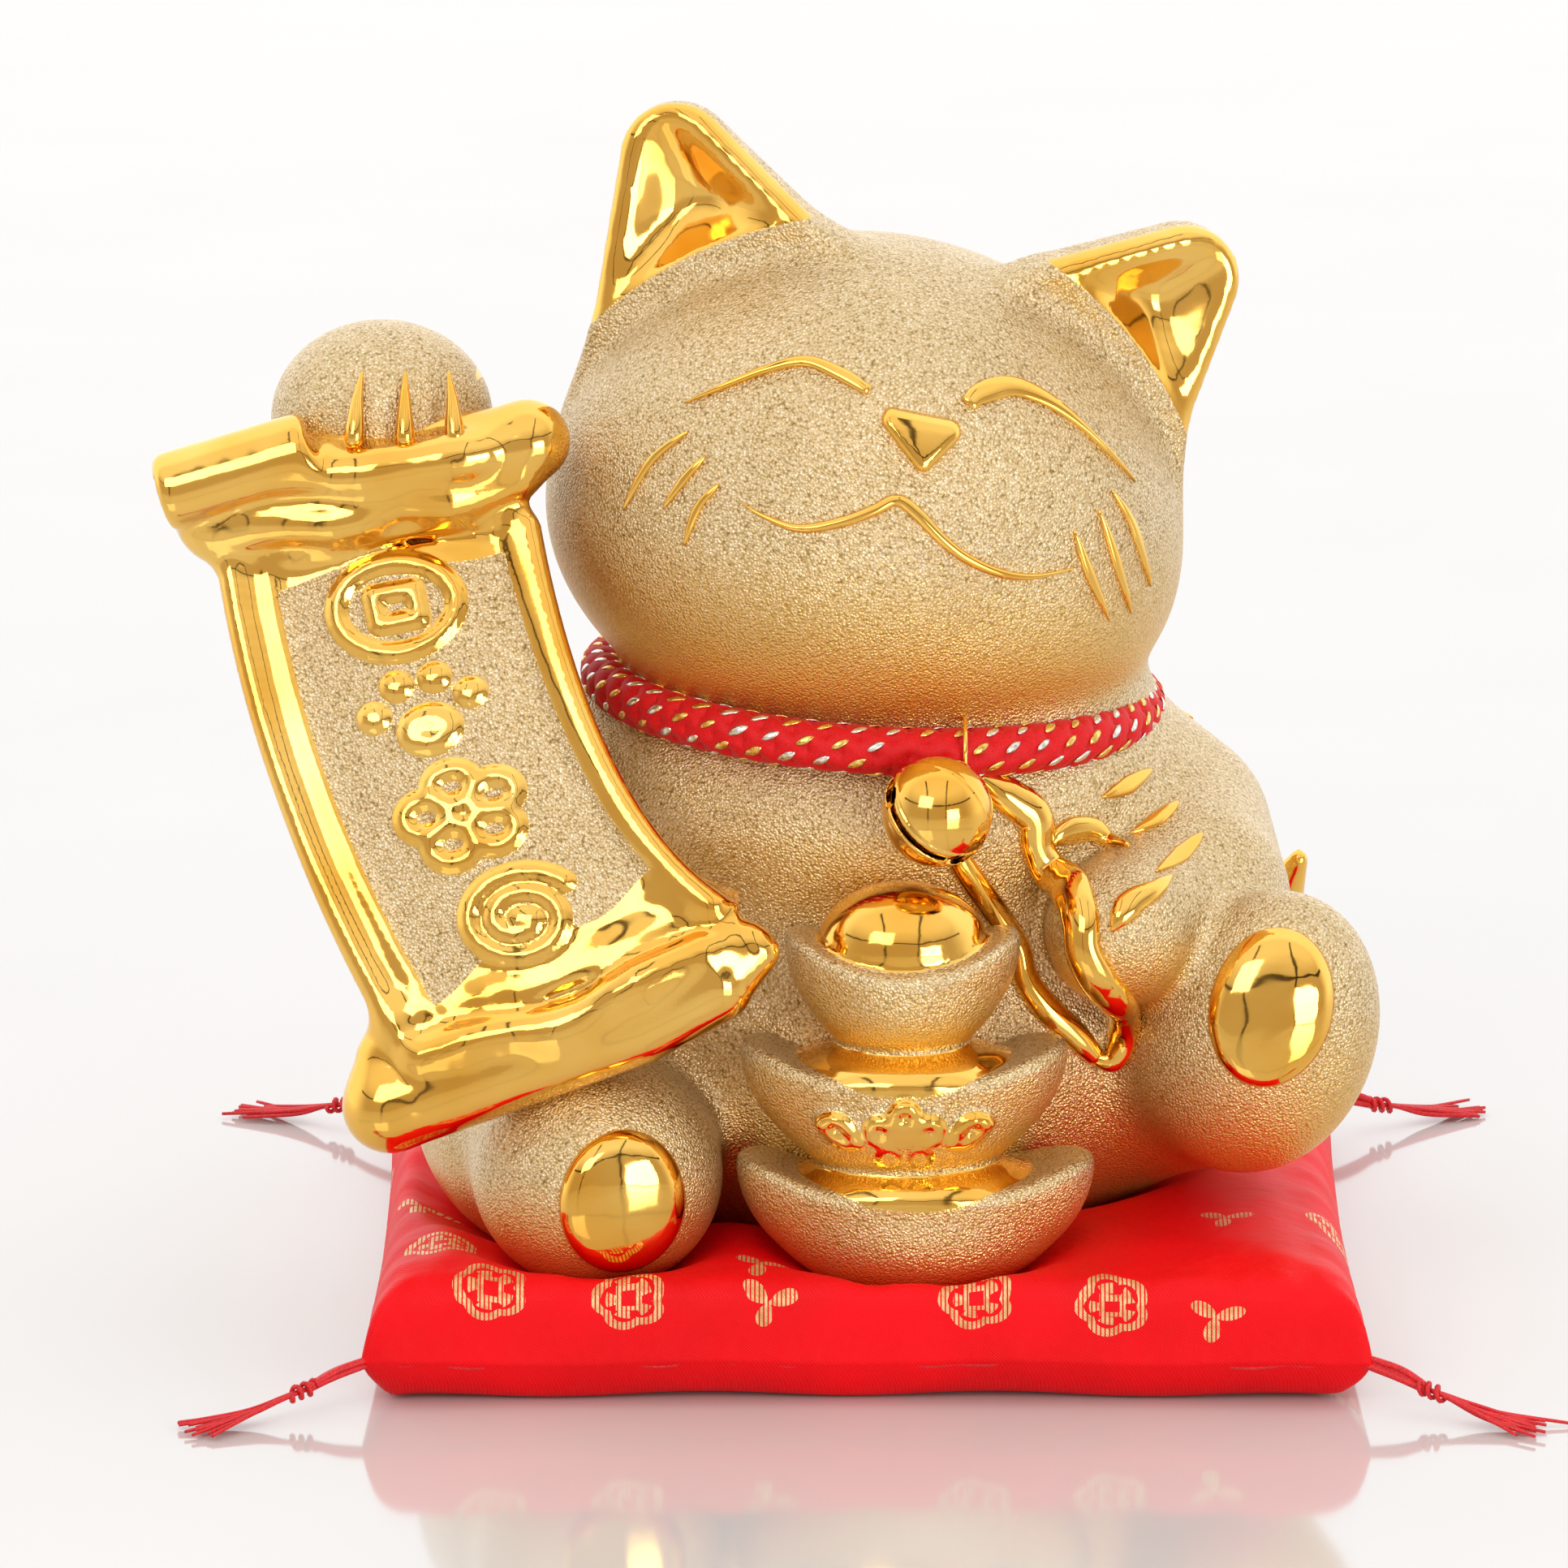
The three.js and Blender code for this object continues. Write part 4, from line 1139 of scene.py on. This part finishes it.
def knot_loop(lobe):
    centre = CORD_CENTRE + np.array([lobe * 1.7, CORD_RING + 3.4, 0.4 * lobe])
    turn = np.linspace(0, 2 * math.pi, 24)
    ring = [centre + (2.0 * math.sin(a) * lobe, 0.9 * math.cos(a), 2.0 * math.cos(a)) for a in turn]
    return round_strand(ring, 1.55, 10)


def fleck(run, around, size):
    """A short slanting stitch of tinsel."""
    t = np.linspace(-1, 1, 7)
    path = cord_place(run + t * 0.022 * size, around + t * 0.16 * size, 0.02 - 0.12 * t * t)
    foot = run + t * 0.02, around + t * 0.14
    width = 0.36 * size * np.sqrt(np.clip(1 - 0.92 * t * t, 0, 1))
    return sweep(path, cord_place(*foot, 1.0) - cord_place(*foot), width, 0.12 + 0 * width, 6)


def make_cord():
    body, faces = gathered([braid(), knot_loop(-1), knot_loop(1)])
    new_piece("braided_neck_cord", body, faces, CORD, "figure", "braided_cord", ["neck_cord"])
    stitches = {"gold": [], "silver": []}
    for row in range(FLECK_ROWS):
        for k in range(FLECKS_PER_ROW):
            run = 2 * math.pi * (k + 0.5 * (row % 2)) / FLECKS_PER_ROW
            around = 2 * math.pi * (row + 0.5) / FLECK_ROWS
            size = 1.15 + 0.3 * RNG.random()
            if np.linalg.norm(cord_place(run, around) - BELL) < BELL_RADIUS + BELL_REACH:
                continue
            kind = "gold" if ((k + row) // 2) % 2 else "silver"
            stitches[kind].append(fleck(run, around, size))
    for kind, look in (("gold", TINSEL_GOLD), ("silver", TINSEL_SILVER)):
        new_piece(f"cord_flecks_{kind}", *gathered(stitches[kind]), look, "figure", "braided_cord")


make_cord()

# ---------------------------------------------------------------- bell

SLIT_NORMAL = (0.544, -0.535, 0.645)
EYE_NORMAL = (0, -0.5, 0.87)


def bell_side(direction):
    """The unit direction nearest to the given one that lies square to the bell's axis."""
    side = np.array(direction) - np.dot(direction, BELL_UP) * BELL_UP
    return side / np.linalg.norm(side)


def bell_shell_shape(reach):
    across = bell_side(SLIT_NORMAL)
    slit_turn = np.stack([across, np.cross(BELL_UP, across), BELL_UP], axis=1)

    def distance(x, y, z):
        u, v, w = turned(slit_turn, BELL, x, y, z)
        r = np.sqrt(u * u + v * v + w * w)
        wall = np.abs(r - BELL_RADIUS + 0.3) - 0.3
        slit = np.maximum(np.abs(u) - 0.42, np.maximum(w + 1.2, np.abs(v) - 6.6))
        holes = np.minimum(np.hypot(u, v - 5.2), np.hypot(u, v + 5.2)) - 1.0
        holes = np.maximum(holes, w)
        lips = np.maximum(np.abs(np.abs(u) - 0.75) - 0.34, np.maximum(w + 1.0, r - BELL_RADIUS - 0.18))
        lips = np.maximum(lips, BELL_RADIUS - 0.7 - r)
        seam = np.hypot(w, r - BELL_RADIUS + 0.12) - 0.16
        solid = blend_min(blend_min(wall, lips, 0.3), seam, 0.25)
        return np.maximum(solid, -np.minimum(slit, holes))

    return Shape(distance, BELL - reach, BELL + reach)


def make_bell():
    reach = 9.6
    clay = Clay(BELL - reach, BELL + reach, 0.17)
    clay.add(bell_shell_shape(reach))
    forward = bell_side(EYE_NORMAL)
    sideways = np.cross(forward, BELL_UP)
    turn = np.linspace(0, 2 * math.pi, 20)
    eye = [LINK + 1.15 * (math.cos(a) * sideways + math.sin(a) * BELL_UP) for a in turn]
    clay.add(tube(eye, 0.34), 0.4)
    nodes = ["bell_upper_shell", "bell_lower_shell"]
    new_piece("bell_shell", *clay.mesh(1), BELL_GOLD, "bell", "bell_brass", nodes)
    turn = np.linspace(0, 2 * math.pi, 48)
    ring = [RING_CENTRE + RING_RADIUS * np.array([0, math.cos(a), math.sin(a)]) for a in turn]
    wire = [RING_WIRE] * len(ring)
    wire_mesh = sweep(ring, np.tile((1, 0, 0), (len(ring), 1)), wire, wire, 8)
    new_piece("jump_ring_wire", *wire_mesh, BELL_GOLD, "figure", "bell_brass", ["bell_jump_ring"])
    centre = np.mean(box_mm("bell_pellet"), axis=0)
    pellet = Clay(centre - 3, centre + 3, 0.2)
    pellet.add(egg(centre, (1.9, 1.86, 1.82)))
    new_piece("bell_ball", *pellet.mesh(1), BELL_GOLD, "pellet", "bell_brass", ["bell_pellet"])


make_bell()

# ---------------------------------------------------------------- cushion

CUSHION_LOW, CUSHION_HIGH = box_mm("cushion_top_cover")
HALF = CUSHION_HIGH[0]
SEAM_Z = CUSHION_LOW[2]
SEAT_DEPTH = SEAT_Z - 0.3
BOW = 0.022  # how far the sides pull in between the corners, as a share of half the width
TENSION_SLOPE = 0.5  # how steeply the cover falls towards what presses on it
MOTIF_SPACING = 19.0
CREST = 0.012  # the height in metres from which the weave drops over the edge, and the weave's own shift


def brocade():
    """Red satin with gold coins and leaves woven into it."""
    look = Look("brocade", Specular_IOR_Level=0.18)
    x, y, z = look.split(look.place())
    # The weave runs on over the edge: the drop below the crest is added to the place across the nearest side.
    drop = look.math("MINIMUM", look.minus(z, CREST), 0.0)
    end_drop = look.times(drop, look.math("GREATER_THAN", look.size(y), look.size(x)))
    side_drop = look.minus(drop, end_drop)
    u = look.minus(x, look.times(side_drop, look.math("SIGN", x)))
    v = look.plus(look.minus(y, look.times(end_drop, look.math("SIGN", y))), CREST)
    flat = look.node("ShaderNodeCombineXYZ")
    look.link(u, flat.inputs[0])
    look.link(v, flat.inputs[1])
    spots = look.node("ShaderNodeTexVoronoi", voronoi_dimensions="2D")
    spots.inputs["Scale"].default_value = 1 / (MOTIF_SPACING * MM)
    spots.inputs["Randomness"].default_value = 0.95
    look.link(flat.outputs[0], spots.inputs["Vector"])
    local = look.node("ShaderNodeVectorMath", operation="SUBTRACT")
    look.link(flat.outputs[0], local.inputs[0])
    look.link(spots.outputs["Position"], local.inputs[1])
    offset = look.split(local.outputs[0])
    du, dv = look.math("DIVIDE", offset[0], MM), look.math("DIVIDE", offset[1], MM)
    radius = look.math("SQRT", look.plus(look.times(du, du), look.times(dv, dv)))
    turn = look.math("ARCTAN2", dv, du)

    def band(value, middle, half):
        return look.math("LESS_THAN", look.size(look.minus(value, middle)), half)

    petal = look.size(look.math("SINE", look.times(turn, 2.5)))
    ring = band(radius, look.scaled(petal, 0.7, 3.1), 0.55)
    hole = band(look.math("MAXIMUM", look.size(du), look.size(dv)), 1.15, 0.32)
    rays = look.times(band(radius, 2.1, 0.55), look.math("GREATER_THAN", petal, 0.62))
    coin = look.math("MAXIMUM", ring, look.math("MAXIMUM", hole, rays))
    leaf_turn = look.math("SINE", look.scaled(turn, 3.0, 0.6))
    leaf = look.math("LESS_THAN", radius, look.scaled(leaf_turn, 1.6, 1.9))
    chance = look.node("ShaderNodeSeparateColor")
    look.link(spots.outputs["Color"], chance.inputs[0])
    which = look.math("GREATER_THAN", chance.outputs[0], 0.45)
    motif = look.plus(look.times(coin, which), look.times(leaf, look.minus(1.0, which)))
    motif = look.times(motif, look.math("GREATER_THAN", chance.outputs[1], 0.12))
    # Gold weft shows as short bars; the ground is a fine twill.
    bars = look.math("SINE", look.times(u, 2 * math.pi / (0.5 * MM)))
    woven = look.times(motif, look.math("GREATER_THAN", bars, -0.45))
    twill = look.math("SINE", look.times(look.plus(u, v), 2 * math.pi / (0.42 * MM)))
    thread = look.scaled(twill, 0.5, 0.5)
    fade = look.noise(16, 3.0)
    ground = look.scaled(thread, 0.25, look.times(fade, 0.75))
    ground = look.ramp(ground, [(0.2, (0.66, 0.0, 0.003)), (0.75, (0.95, 0.0, 0.006))])
    gold = look.ramp(look.noise(1.2, 2.0), [(0.3, (0.62, 0.33, 0.12)), (0.7, (0.9, 0.62, 0.33))])
    look.set("Base Color", look.mix(woven, ground, gold))
    look.set("Metallic", look.times(woven, 0.5))
    look.set("Roughness", look.scaled(woven, -0.1, look.scaled(fade, 0.15, 0.4)))
    height = look.plus(look.times(thread, 0.35), look.times(woven, 0.8))
    creases = look.bump(look.noise(9, 3.0, 0.6), 1.2, 0.5)
    look.set("Normal", look.bump(height, 0.12, 0.6, creases))
    return look.material


BROCADE = brocade()
resting_trees = [skin_tree, tree_of(ingots)]


def cushion_edge(x, y):
    """How far a plan place lies inside the cushion's outline, whose sides pull in between pointed corners."""
    pull = BOW * HALF
    bow_x = pull * (1 - (y / HALF) ** 2)
    bow_y = pull * (1 - (x / HALF) ** 2)
    return np.minimum(HALF - bow_x - np.abs(x), HALF - bow_y - np.abs(y))


def underside(x, y):
    """How high the cat and its ingots stand above the floor at a plan place."""
    height = 60.0
    for tree in resting_trees:
        place = tree.ray_cast(Vector((x, y, -5)), Vector((0, 0, 1)), 70)[0]
        if place is not None:
            height = min(height, place[2])
    return height


def cushion_rest(points):
    """Settles the swollen cover: flat underneath, a full edge, and pressed down where the cat sits."""
    x, y, z = points.T
    inside = np.clip(cushion_edge(x, y), 0, None)
    rounding = np.clip(inside / 5.0, 0, 1)
    free = SEAM_Z + 9.5 * np.sqrt(np.clip(1 - (1 - rounding) ** 2.2, 0, 1))
    loose = np.clip((np.abs(x) - 36) / 10, 0, 1) * np.clip((inside - 3) / 6, 0, 1)
    free = free + 0.9 * loose
    reach = np.array([underside(px, py) for px, py in zip(x, y)])
    plan = np.stack([x, y], axis=1)
    near = np.array([np.min(reach + TENSION_SLOPE * np.hypot(*(plan - place).T)) for place in plan])
    pressed = np.maximum(near - 0.3, SEAT_DEPTH - 0.15)
    slack = np.clip(z - (SEAM_Z + 6.5), -1.2, 1.2)
    top = np.minimum(free + 0.5 * slack, pressed)
    bottom = SEAM_Z - (SEAM_Z - 0.05) * np.sqrt(np.clip(inside / 3.0, 0, 1))
    z = np.where(z > SEAM_Z, top, bottom)
    return np.stack([x, y, z], axis=1)


def make_cushion():
    cells = 60
    count = cells + 1
    t = np.linspace(-1, 1, count)
    spread = np.sign(t) * (1 - (1 - np.abs(t)) ** 1.25)
    gx, gy = np.meshgrid(spread * (HALF + 0.2), spread * (HALF + 0.2), indexing="ij")
    # The sides pull in between the corners.
    gx, gy = gx * (1 - BOW * (1 - (gy / HALF) ** 2)), gy * (1 - BOW * (1 - (gx / HALF) ** 2))
    inside = np.clip(HALF - 1 - np.maximum(np.abs(gx), np.abs(gy)), 0, None)
    swell = 1 - np.exp(-inside / 3.2)
    layers = [SEAM_Z + 0.2 + swell * 6.4, SEAM_Z - 0.2 - swell * 4.2]
    points = np.concatenate([np.stack([gx, gy, layer], -1).reshape(-1, 3) for layer in layers])
    below = count * count
    faces = []
    for i in range(cells):
        for j in range(cells):
            a, b = i * count + j, (i + 1) * count + j
            faces.append((a, b, b + 1, a + 1))
            faces.append((below + a + 1, below + b + 1, below + b, below + a))
    rim = [(i, 0) for i in range(cells)] + [(cells, j) for j in range(cells)]
    rim += [(i, cells) for i in range(cells, 0, -1)] + [(0, j) for j in range(cells, 0, -1)]
    rim = [i * count + j for i, j in rim]
    for a, b in zip(rim, rim[1:] + rim[:1]):
        faces.append((a, a + below, b + below, b))
    nodes = ["cushion_top_cover", "cushion_bottom_cover", "cushion_stuffing"]
    piece = new_piece("brocade_cushion", points, faces, BROCADE, "cushion", "brocade", nodes)
    swell_cloth(piece, points)
    mesh = piece.data
    settled = wrinkled(cushion_rest(np.array([v.co for v in mesh.vertices]) / MM))
    mesh.vertices.foreach_set("co", (settled * MM).ravel())
    mesh.update()
    smooth = piece.modifiers.new("finish", "SUBSURF")
    smooth.levels = smooth.render_levels = 1


SWELL_FRAMES = 20
SWELL_CAP = 5.0


def swell_cloth(piece, points):
    """Blows the cover up as cloth, with its seam and the seat held, and caps how far a point may move."""
    mesh = piece.data
    held = piece.vertex_groups.new(name="held")
    reach = np.hypot(points[:, 0] / 50, (points[:, 1] + 4) / 50)
    edge = HALF - 2.2 - np.maximum(np.abs(points[:, 0]), np.abs(points[:, 1]))
    for index in range(len(points)):
        hold = 1.0 if edge[index] < 0 else float(np.clip((0.8 - reach[index]) * 6, 0, 0.9))
        if points[index, 2] < SEAM_Z:
            hold = max(hold, 0.6)
        if hold > 0:
            held.add([index], hold, "REPLACE")
    cloth = piece.modifiers.new("swell", "CLOTH")
    settings = cloth.settings
    settings.quality = 6
    settings.mass = 0.15
    settings.tension_stiffness = settings.compression_stiffness = 12
    settings.bending_stiffness = 0.4
    settings.use_pressure = True
    settings.uniform_pressure_force = 4
    settings.vertex_group_mass = "held"
    settings.effector_weights.gravity = 0
    cloth.collision_settings.use_collision = False
    cloth.collision_settings.use_self_collision = False
    scene = bpy.context.scene
    for step in range(SWELL_FRAMES):
        scene.frame_set(step + 1)
    depsgraph = bpy.context.evaluated_depsgraph_get()
    blown = piece.evaluated_get(depsgraph).to_mesh()
    after = np.array([v.co for v in blown.vertices]) / MM
    piece.evaluated_get(depsgraph).to_mesh_clear()
    piece.modifiers.remove(cloth)
    scene.frame_set(1)
    move = after - points
    length = np.linalg.norm(move, axis=1)
    move *= np.minimum(SWELL_CAP / np.maximum(length, 1e-6), 1)[:, None]
    mesh.vertices.foreach_set("co", ((points + move) * MM).ravel())
    mesh.update()


def wrinkled(points):
    """Puckers drawn in by the seam, and a hem that rises and falls below it."""
    x, y, z = points.T
    depth = cushion_edge(x, y)
    on_side = np.abs(x) > np.abs(y)
    along = np.where(on_side, y, x)
    phase = np.where(on_side, 1.7 * np.sign(x), 0.4 * np.sign(y))
    near = np.exp(-((depth - 2.5) / 4.0) ** 2)
    puckers = 0.35 * np.sin(along * 0.62 + 4 * phase) + 0.22 * np.sin(along * 1.37 + phase)
    hem = np.exp(-((depth - 2.0) / 2.5) ** 2) * (0.5 + 0.45 * np.sin(along * 0.19 + 3 * phase))
    z = z + np.where(z > SEAM_Z, near * puckers, hem)
    return np.stack([x, y, np.maximum(z, 0.05)], axis=1)


def make_seam():
    """The sewn edge, a slim ridge that waves with the puckers."""
    count = 360
    t = np.linspace(0, 4, count, endpoint=False)
    side, part = t.astype(int), (t % 1) * 2 - 1
    half = HALF - 0.5
    pull = 1 - BOW * (1 - part**2)
    corners = [(part, -pull), (pull, part), (-part, pull), (-pull, -part)]
    x = half * np.choose(side, [c[0] for c in corners])
    y = half * np.choose(side, [c[1] for c in corners])
    z = SEAM_Z - 0.3 + 0.18 * np.sin(t * 41) + 0.12 * np.sin(t * 97 + 1)
    path = np.stack([x, y, z], axis=1)
    path = np.vstack([path, path[:1]])
    up = np.tile((0, 0, 1), (len(path), 1))
    ridge = sweep(path, up, [0.45] * len(path), [0.32] * len(path), 8)
    new_piece("cushion_seam", *ridge, THREAD, "cushion", "brocade")


TASSELS = {"front_right": (-1, -1), "front_left": (1, -1), "back_right": (-1, 1), "back_left": (1, 1)}
TASSEL_THREADS = 14


def tassel_cord(root, bind, out):
    """Three strands from the corner to the binding."""
    strands = []
    for k in range(3):
        wobble = 0.35 * np.array([math.cos(2.1 * k), math.sin(2.1 * k), math.cos(1.3 * k)])
        route = [root - out * 0.06 + wobble, root + out * 0.14 + wobble * 1.2, bind + wobble * 0.5]
        strands.append(round_strand(smooth_path(route, 14), 0.42, 7))
    return strands


def tassel_binding(bind, out, side):
    way = out / np.linalg.norm(out)
    turn = np.linspace(0, 6 * math.pi, 40)[:, None]
    circle = side * np.cos(turn) + np.array([0, 0, 1]) * np.sin(turn)
    return round_strand(bind + way * (0.18 * turn - 1.2) + 0.75 * circle, 0.3, 6)


def tassel_thread(k, bind, out, side):
    """One of the loose threads, which fan out from the binding."""
    fan = (k - 6.5) / 6.5 + 0.15 * RNG.normal()
    length = 0.56 + 0.14 * RNG.random()
    droop = 0.45 + 0.35 * RNG.random()
    middle = bind + out * length * 0.5 + side * fan * 1.1 + (0, 0, 0.6 * RNG.random() - 0.6)
    end = bind + out * length + side * fan * (2.6 + 1.2 * RNG.random())
    end[2] = droop
    middle[2] = max(middle[2], 0.6)
    path = smooth_path([bind, bind + out * 0.12 + side * fan * 0.3, middle, end], 18)
    return round_strand(path, np.linspace(0.3, 0.2, 18), 6)


def make_tassels():
    for name, (sx, sy) in TASSELS.items():
        node = f"tassel_{name}"
        low, high = box_mm(node)
        inner = low[0] if sx > 0 else high[0], low[1] if sy > 0 else high[1]
        outer = high[0] if sx > 0 else low[0], high[1] if sy > 0 else low[1]
        root, tip = np.array([*inner, SEAM_Z]), np.array([*outer, 0.6])
        out = tip - root
        side = np.array([-out[1], out[0], 0]) / np.linalg.norm(out[:2])
        bind = root + out * 0.3 + (0, 0, -0.6)
        strands = tassel_cord(root, bind, out) + [tassel_binding(bind, out, side)]
        strands += [tassel_thread(k, bind, out, side) for k in range(TASSEL_THREADS)]
        points, faces = gathered(strands)
        points[:, 2] = np.maximum(points[:, 2], 0.05)
        new_piece(f"thread_{node}", points, faces, THREAD, "cushion", "tassel_thread", [node])


make_cushion()
make_seam()
make_tassels()

# ---------------------------------------------------------------- floor, light and camera

FLOOR_HALF = 3.0  # metres
TENT_FRONT = (0.44, 0.37, 0.29)
TENT_SEAM = (0.03, 0.02, 0.015)
# The seams in the tent's front: the axis that each one lies across, its place and half its width.
TENT_SEAMS = ((0, -0.34, 0.02), (0, 0.3, 0.018), (2, 0.42, 0.02))


def make_stage():
    look = Look("floor_white", Roughness=0.08, IOR=2.0)
    tones = [(0.3, (0.62, 0.61, 0.61)), (0.7, (0.64, 0.63, 0.63))]
    look.set("Base Color", look.ramp(look.noise(60, 2.0), tones))
    mesh = bpy.data.meshes.new("floor")
    corners = [(sx * FLOOR_HALF, sy * FLOOR_HALF, 0) for sx, sy in ((-1, -1), (1, -1), (1, 1), (-1, 1))]
    mesh.from_pydata(corners, [], [(0, 1, 2, 3)])
    mesh.materials.append(look.material)
    floor = bpy.data.objects.new("floor", mesh)
    bpy.context.scene.collection.objects.link(floor)


def panel_light(name, place, size, power):
    data = bpy.data.lights.new(name, "AREA")
    data.shape = "RECTANGLE"
    data.size, data.size_y = size
    data.energy = power
    light = bpy.data.objects.new(name, data)
    light.location = place
    aim = Vector((0, 0, 0.07)) - light.location
    light.rotation_euler = aim.to_track_quat("-Z", "Y").to_euler()
    light.visible_camera = False
    bpy.context.scene.collection.objects.link(light)


def make_lights():
    """A light tent: white behind and above, dimmer on the camera's side, with two soft panels in front."""
    world = bpy.data.worlds.new("studio")
    bpy.context.scene.world = world
    world.use_nodes = True
    sky = Nodes(world.node_tree)
    place = sky.split(sky.node("ShaderNodeTexCoord").outputs["Generated"])
    behind = sky.rise(place[1], -0.55, 0.25, 1.0)
    above = sky.rise(place[2], 0.3, 0.8, 0.7)
    tent = sky.ramp(sky.math("MAXIMUM", behind, above), [(0.0, TENT_FRONT), (1.0, (1, 1, 1))])
    # The tent's front has dark seams, which draw the fine dark lines in the polished gold.
    seams = 0.0
    for axis, middle, half in TENT_SEAMS:
        seams = sky.math("MAXIMUM", seams, sky.math("COMPARE", place[axis], middle, half))
    dark = sky.times(seams, sky.math("LESS_THAN", place[1], -0.1))
    background = sky.tree.nodes["Background"]
    sky.link(sky.mix(dark, tent, TENT_SEAM), background.inputs["Color"])
    background.inputs["Strength"].default_value = 1.38
    panel_light("key", (-0.4, -0.8, 0.6), (0.5, 0.4), 2.1)
    panel_light("fill", (0.5, -0.8, 0.16), (0.4, 0.3), 2.6)


def make_camera():
    data = bpy.data.cameras.new("camera")
    data.sensor_width = 36
    data.lens = 36 * VIEW_DISTANCE / VIEW_WIDTH
    camera = bpy.data.objects.new("camera", data)
    camera.location = VIEW_PLACE * MM
    camera.rotation_euler = (math.pi / 2 - ELEVATION, 0, 0)
    data.clip_start, data.clip_end = 0.05, 20
    bpy.context.scene.collection.objects.link(camera)
    bpy.context.scene.camera = camera
    bpy.context.scene.view_settings.view_transform = "Standard"


make_stage()
make_lights()
make_camera()
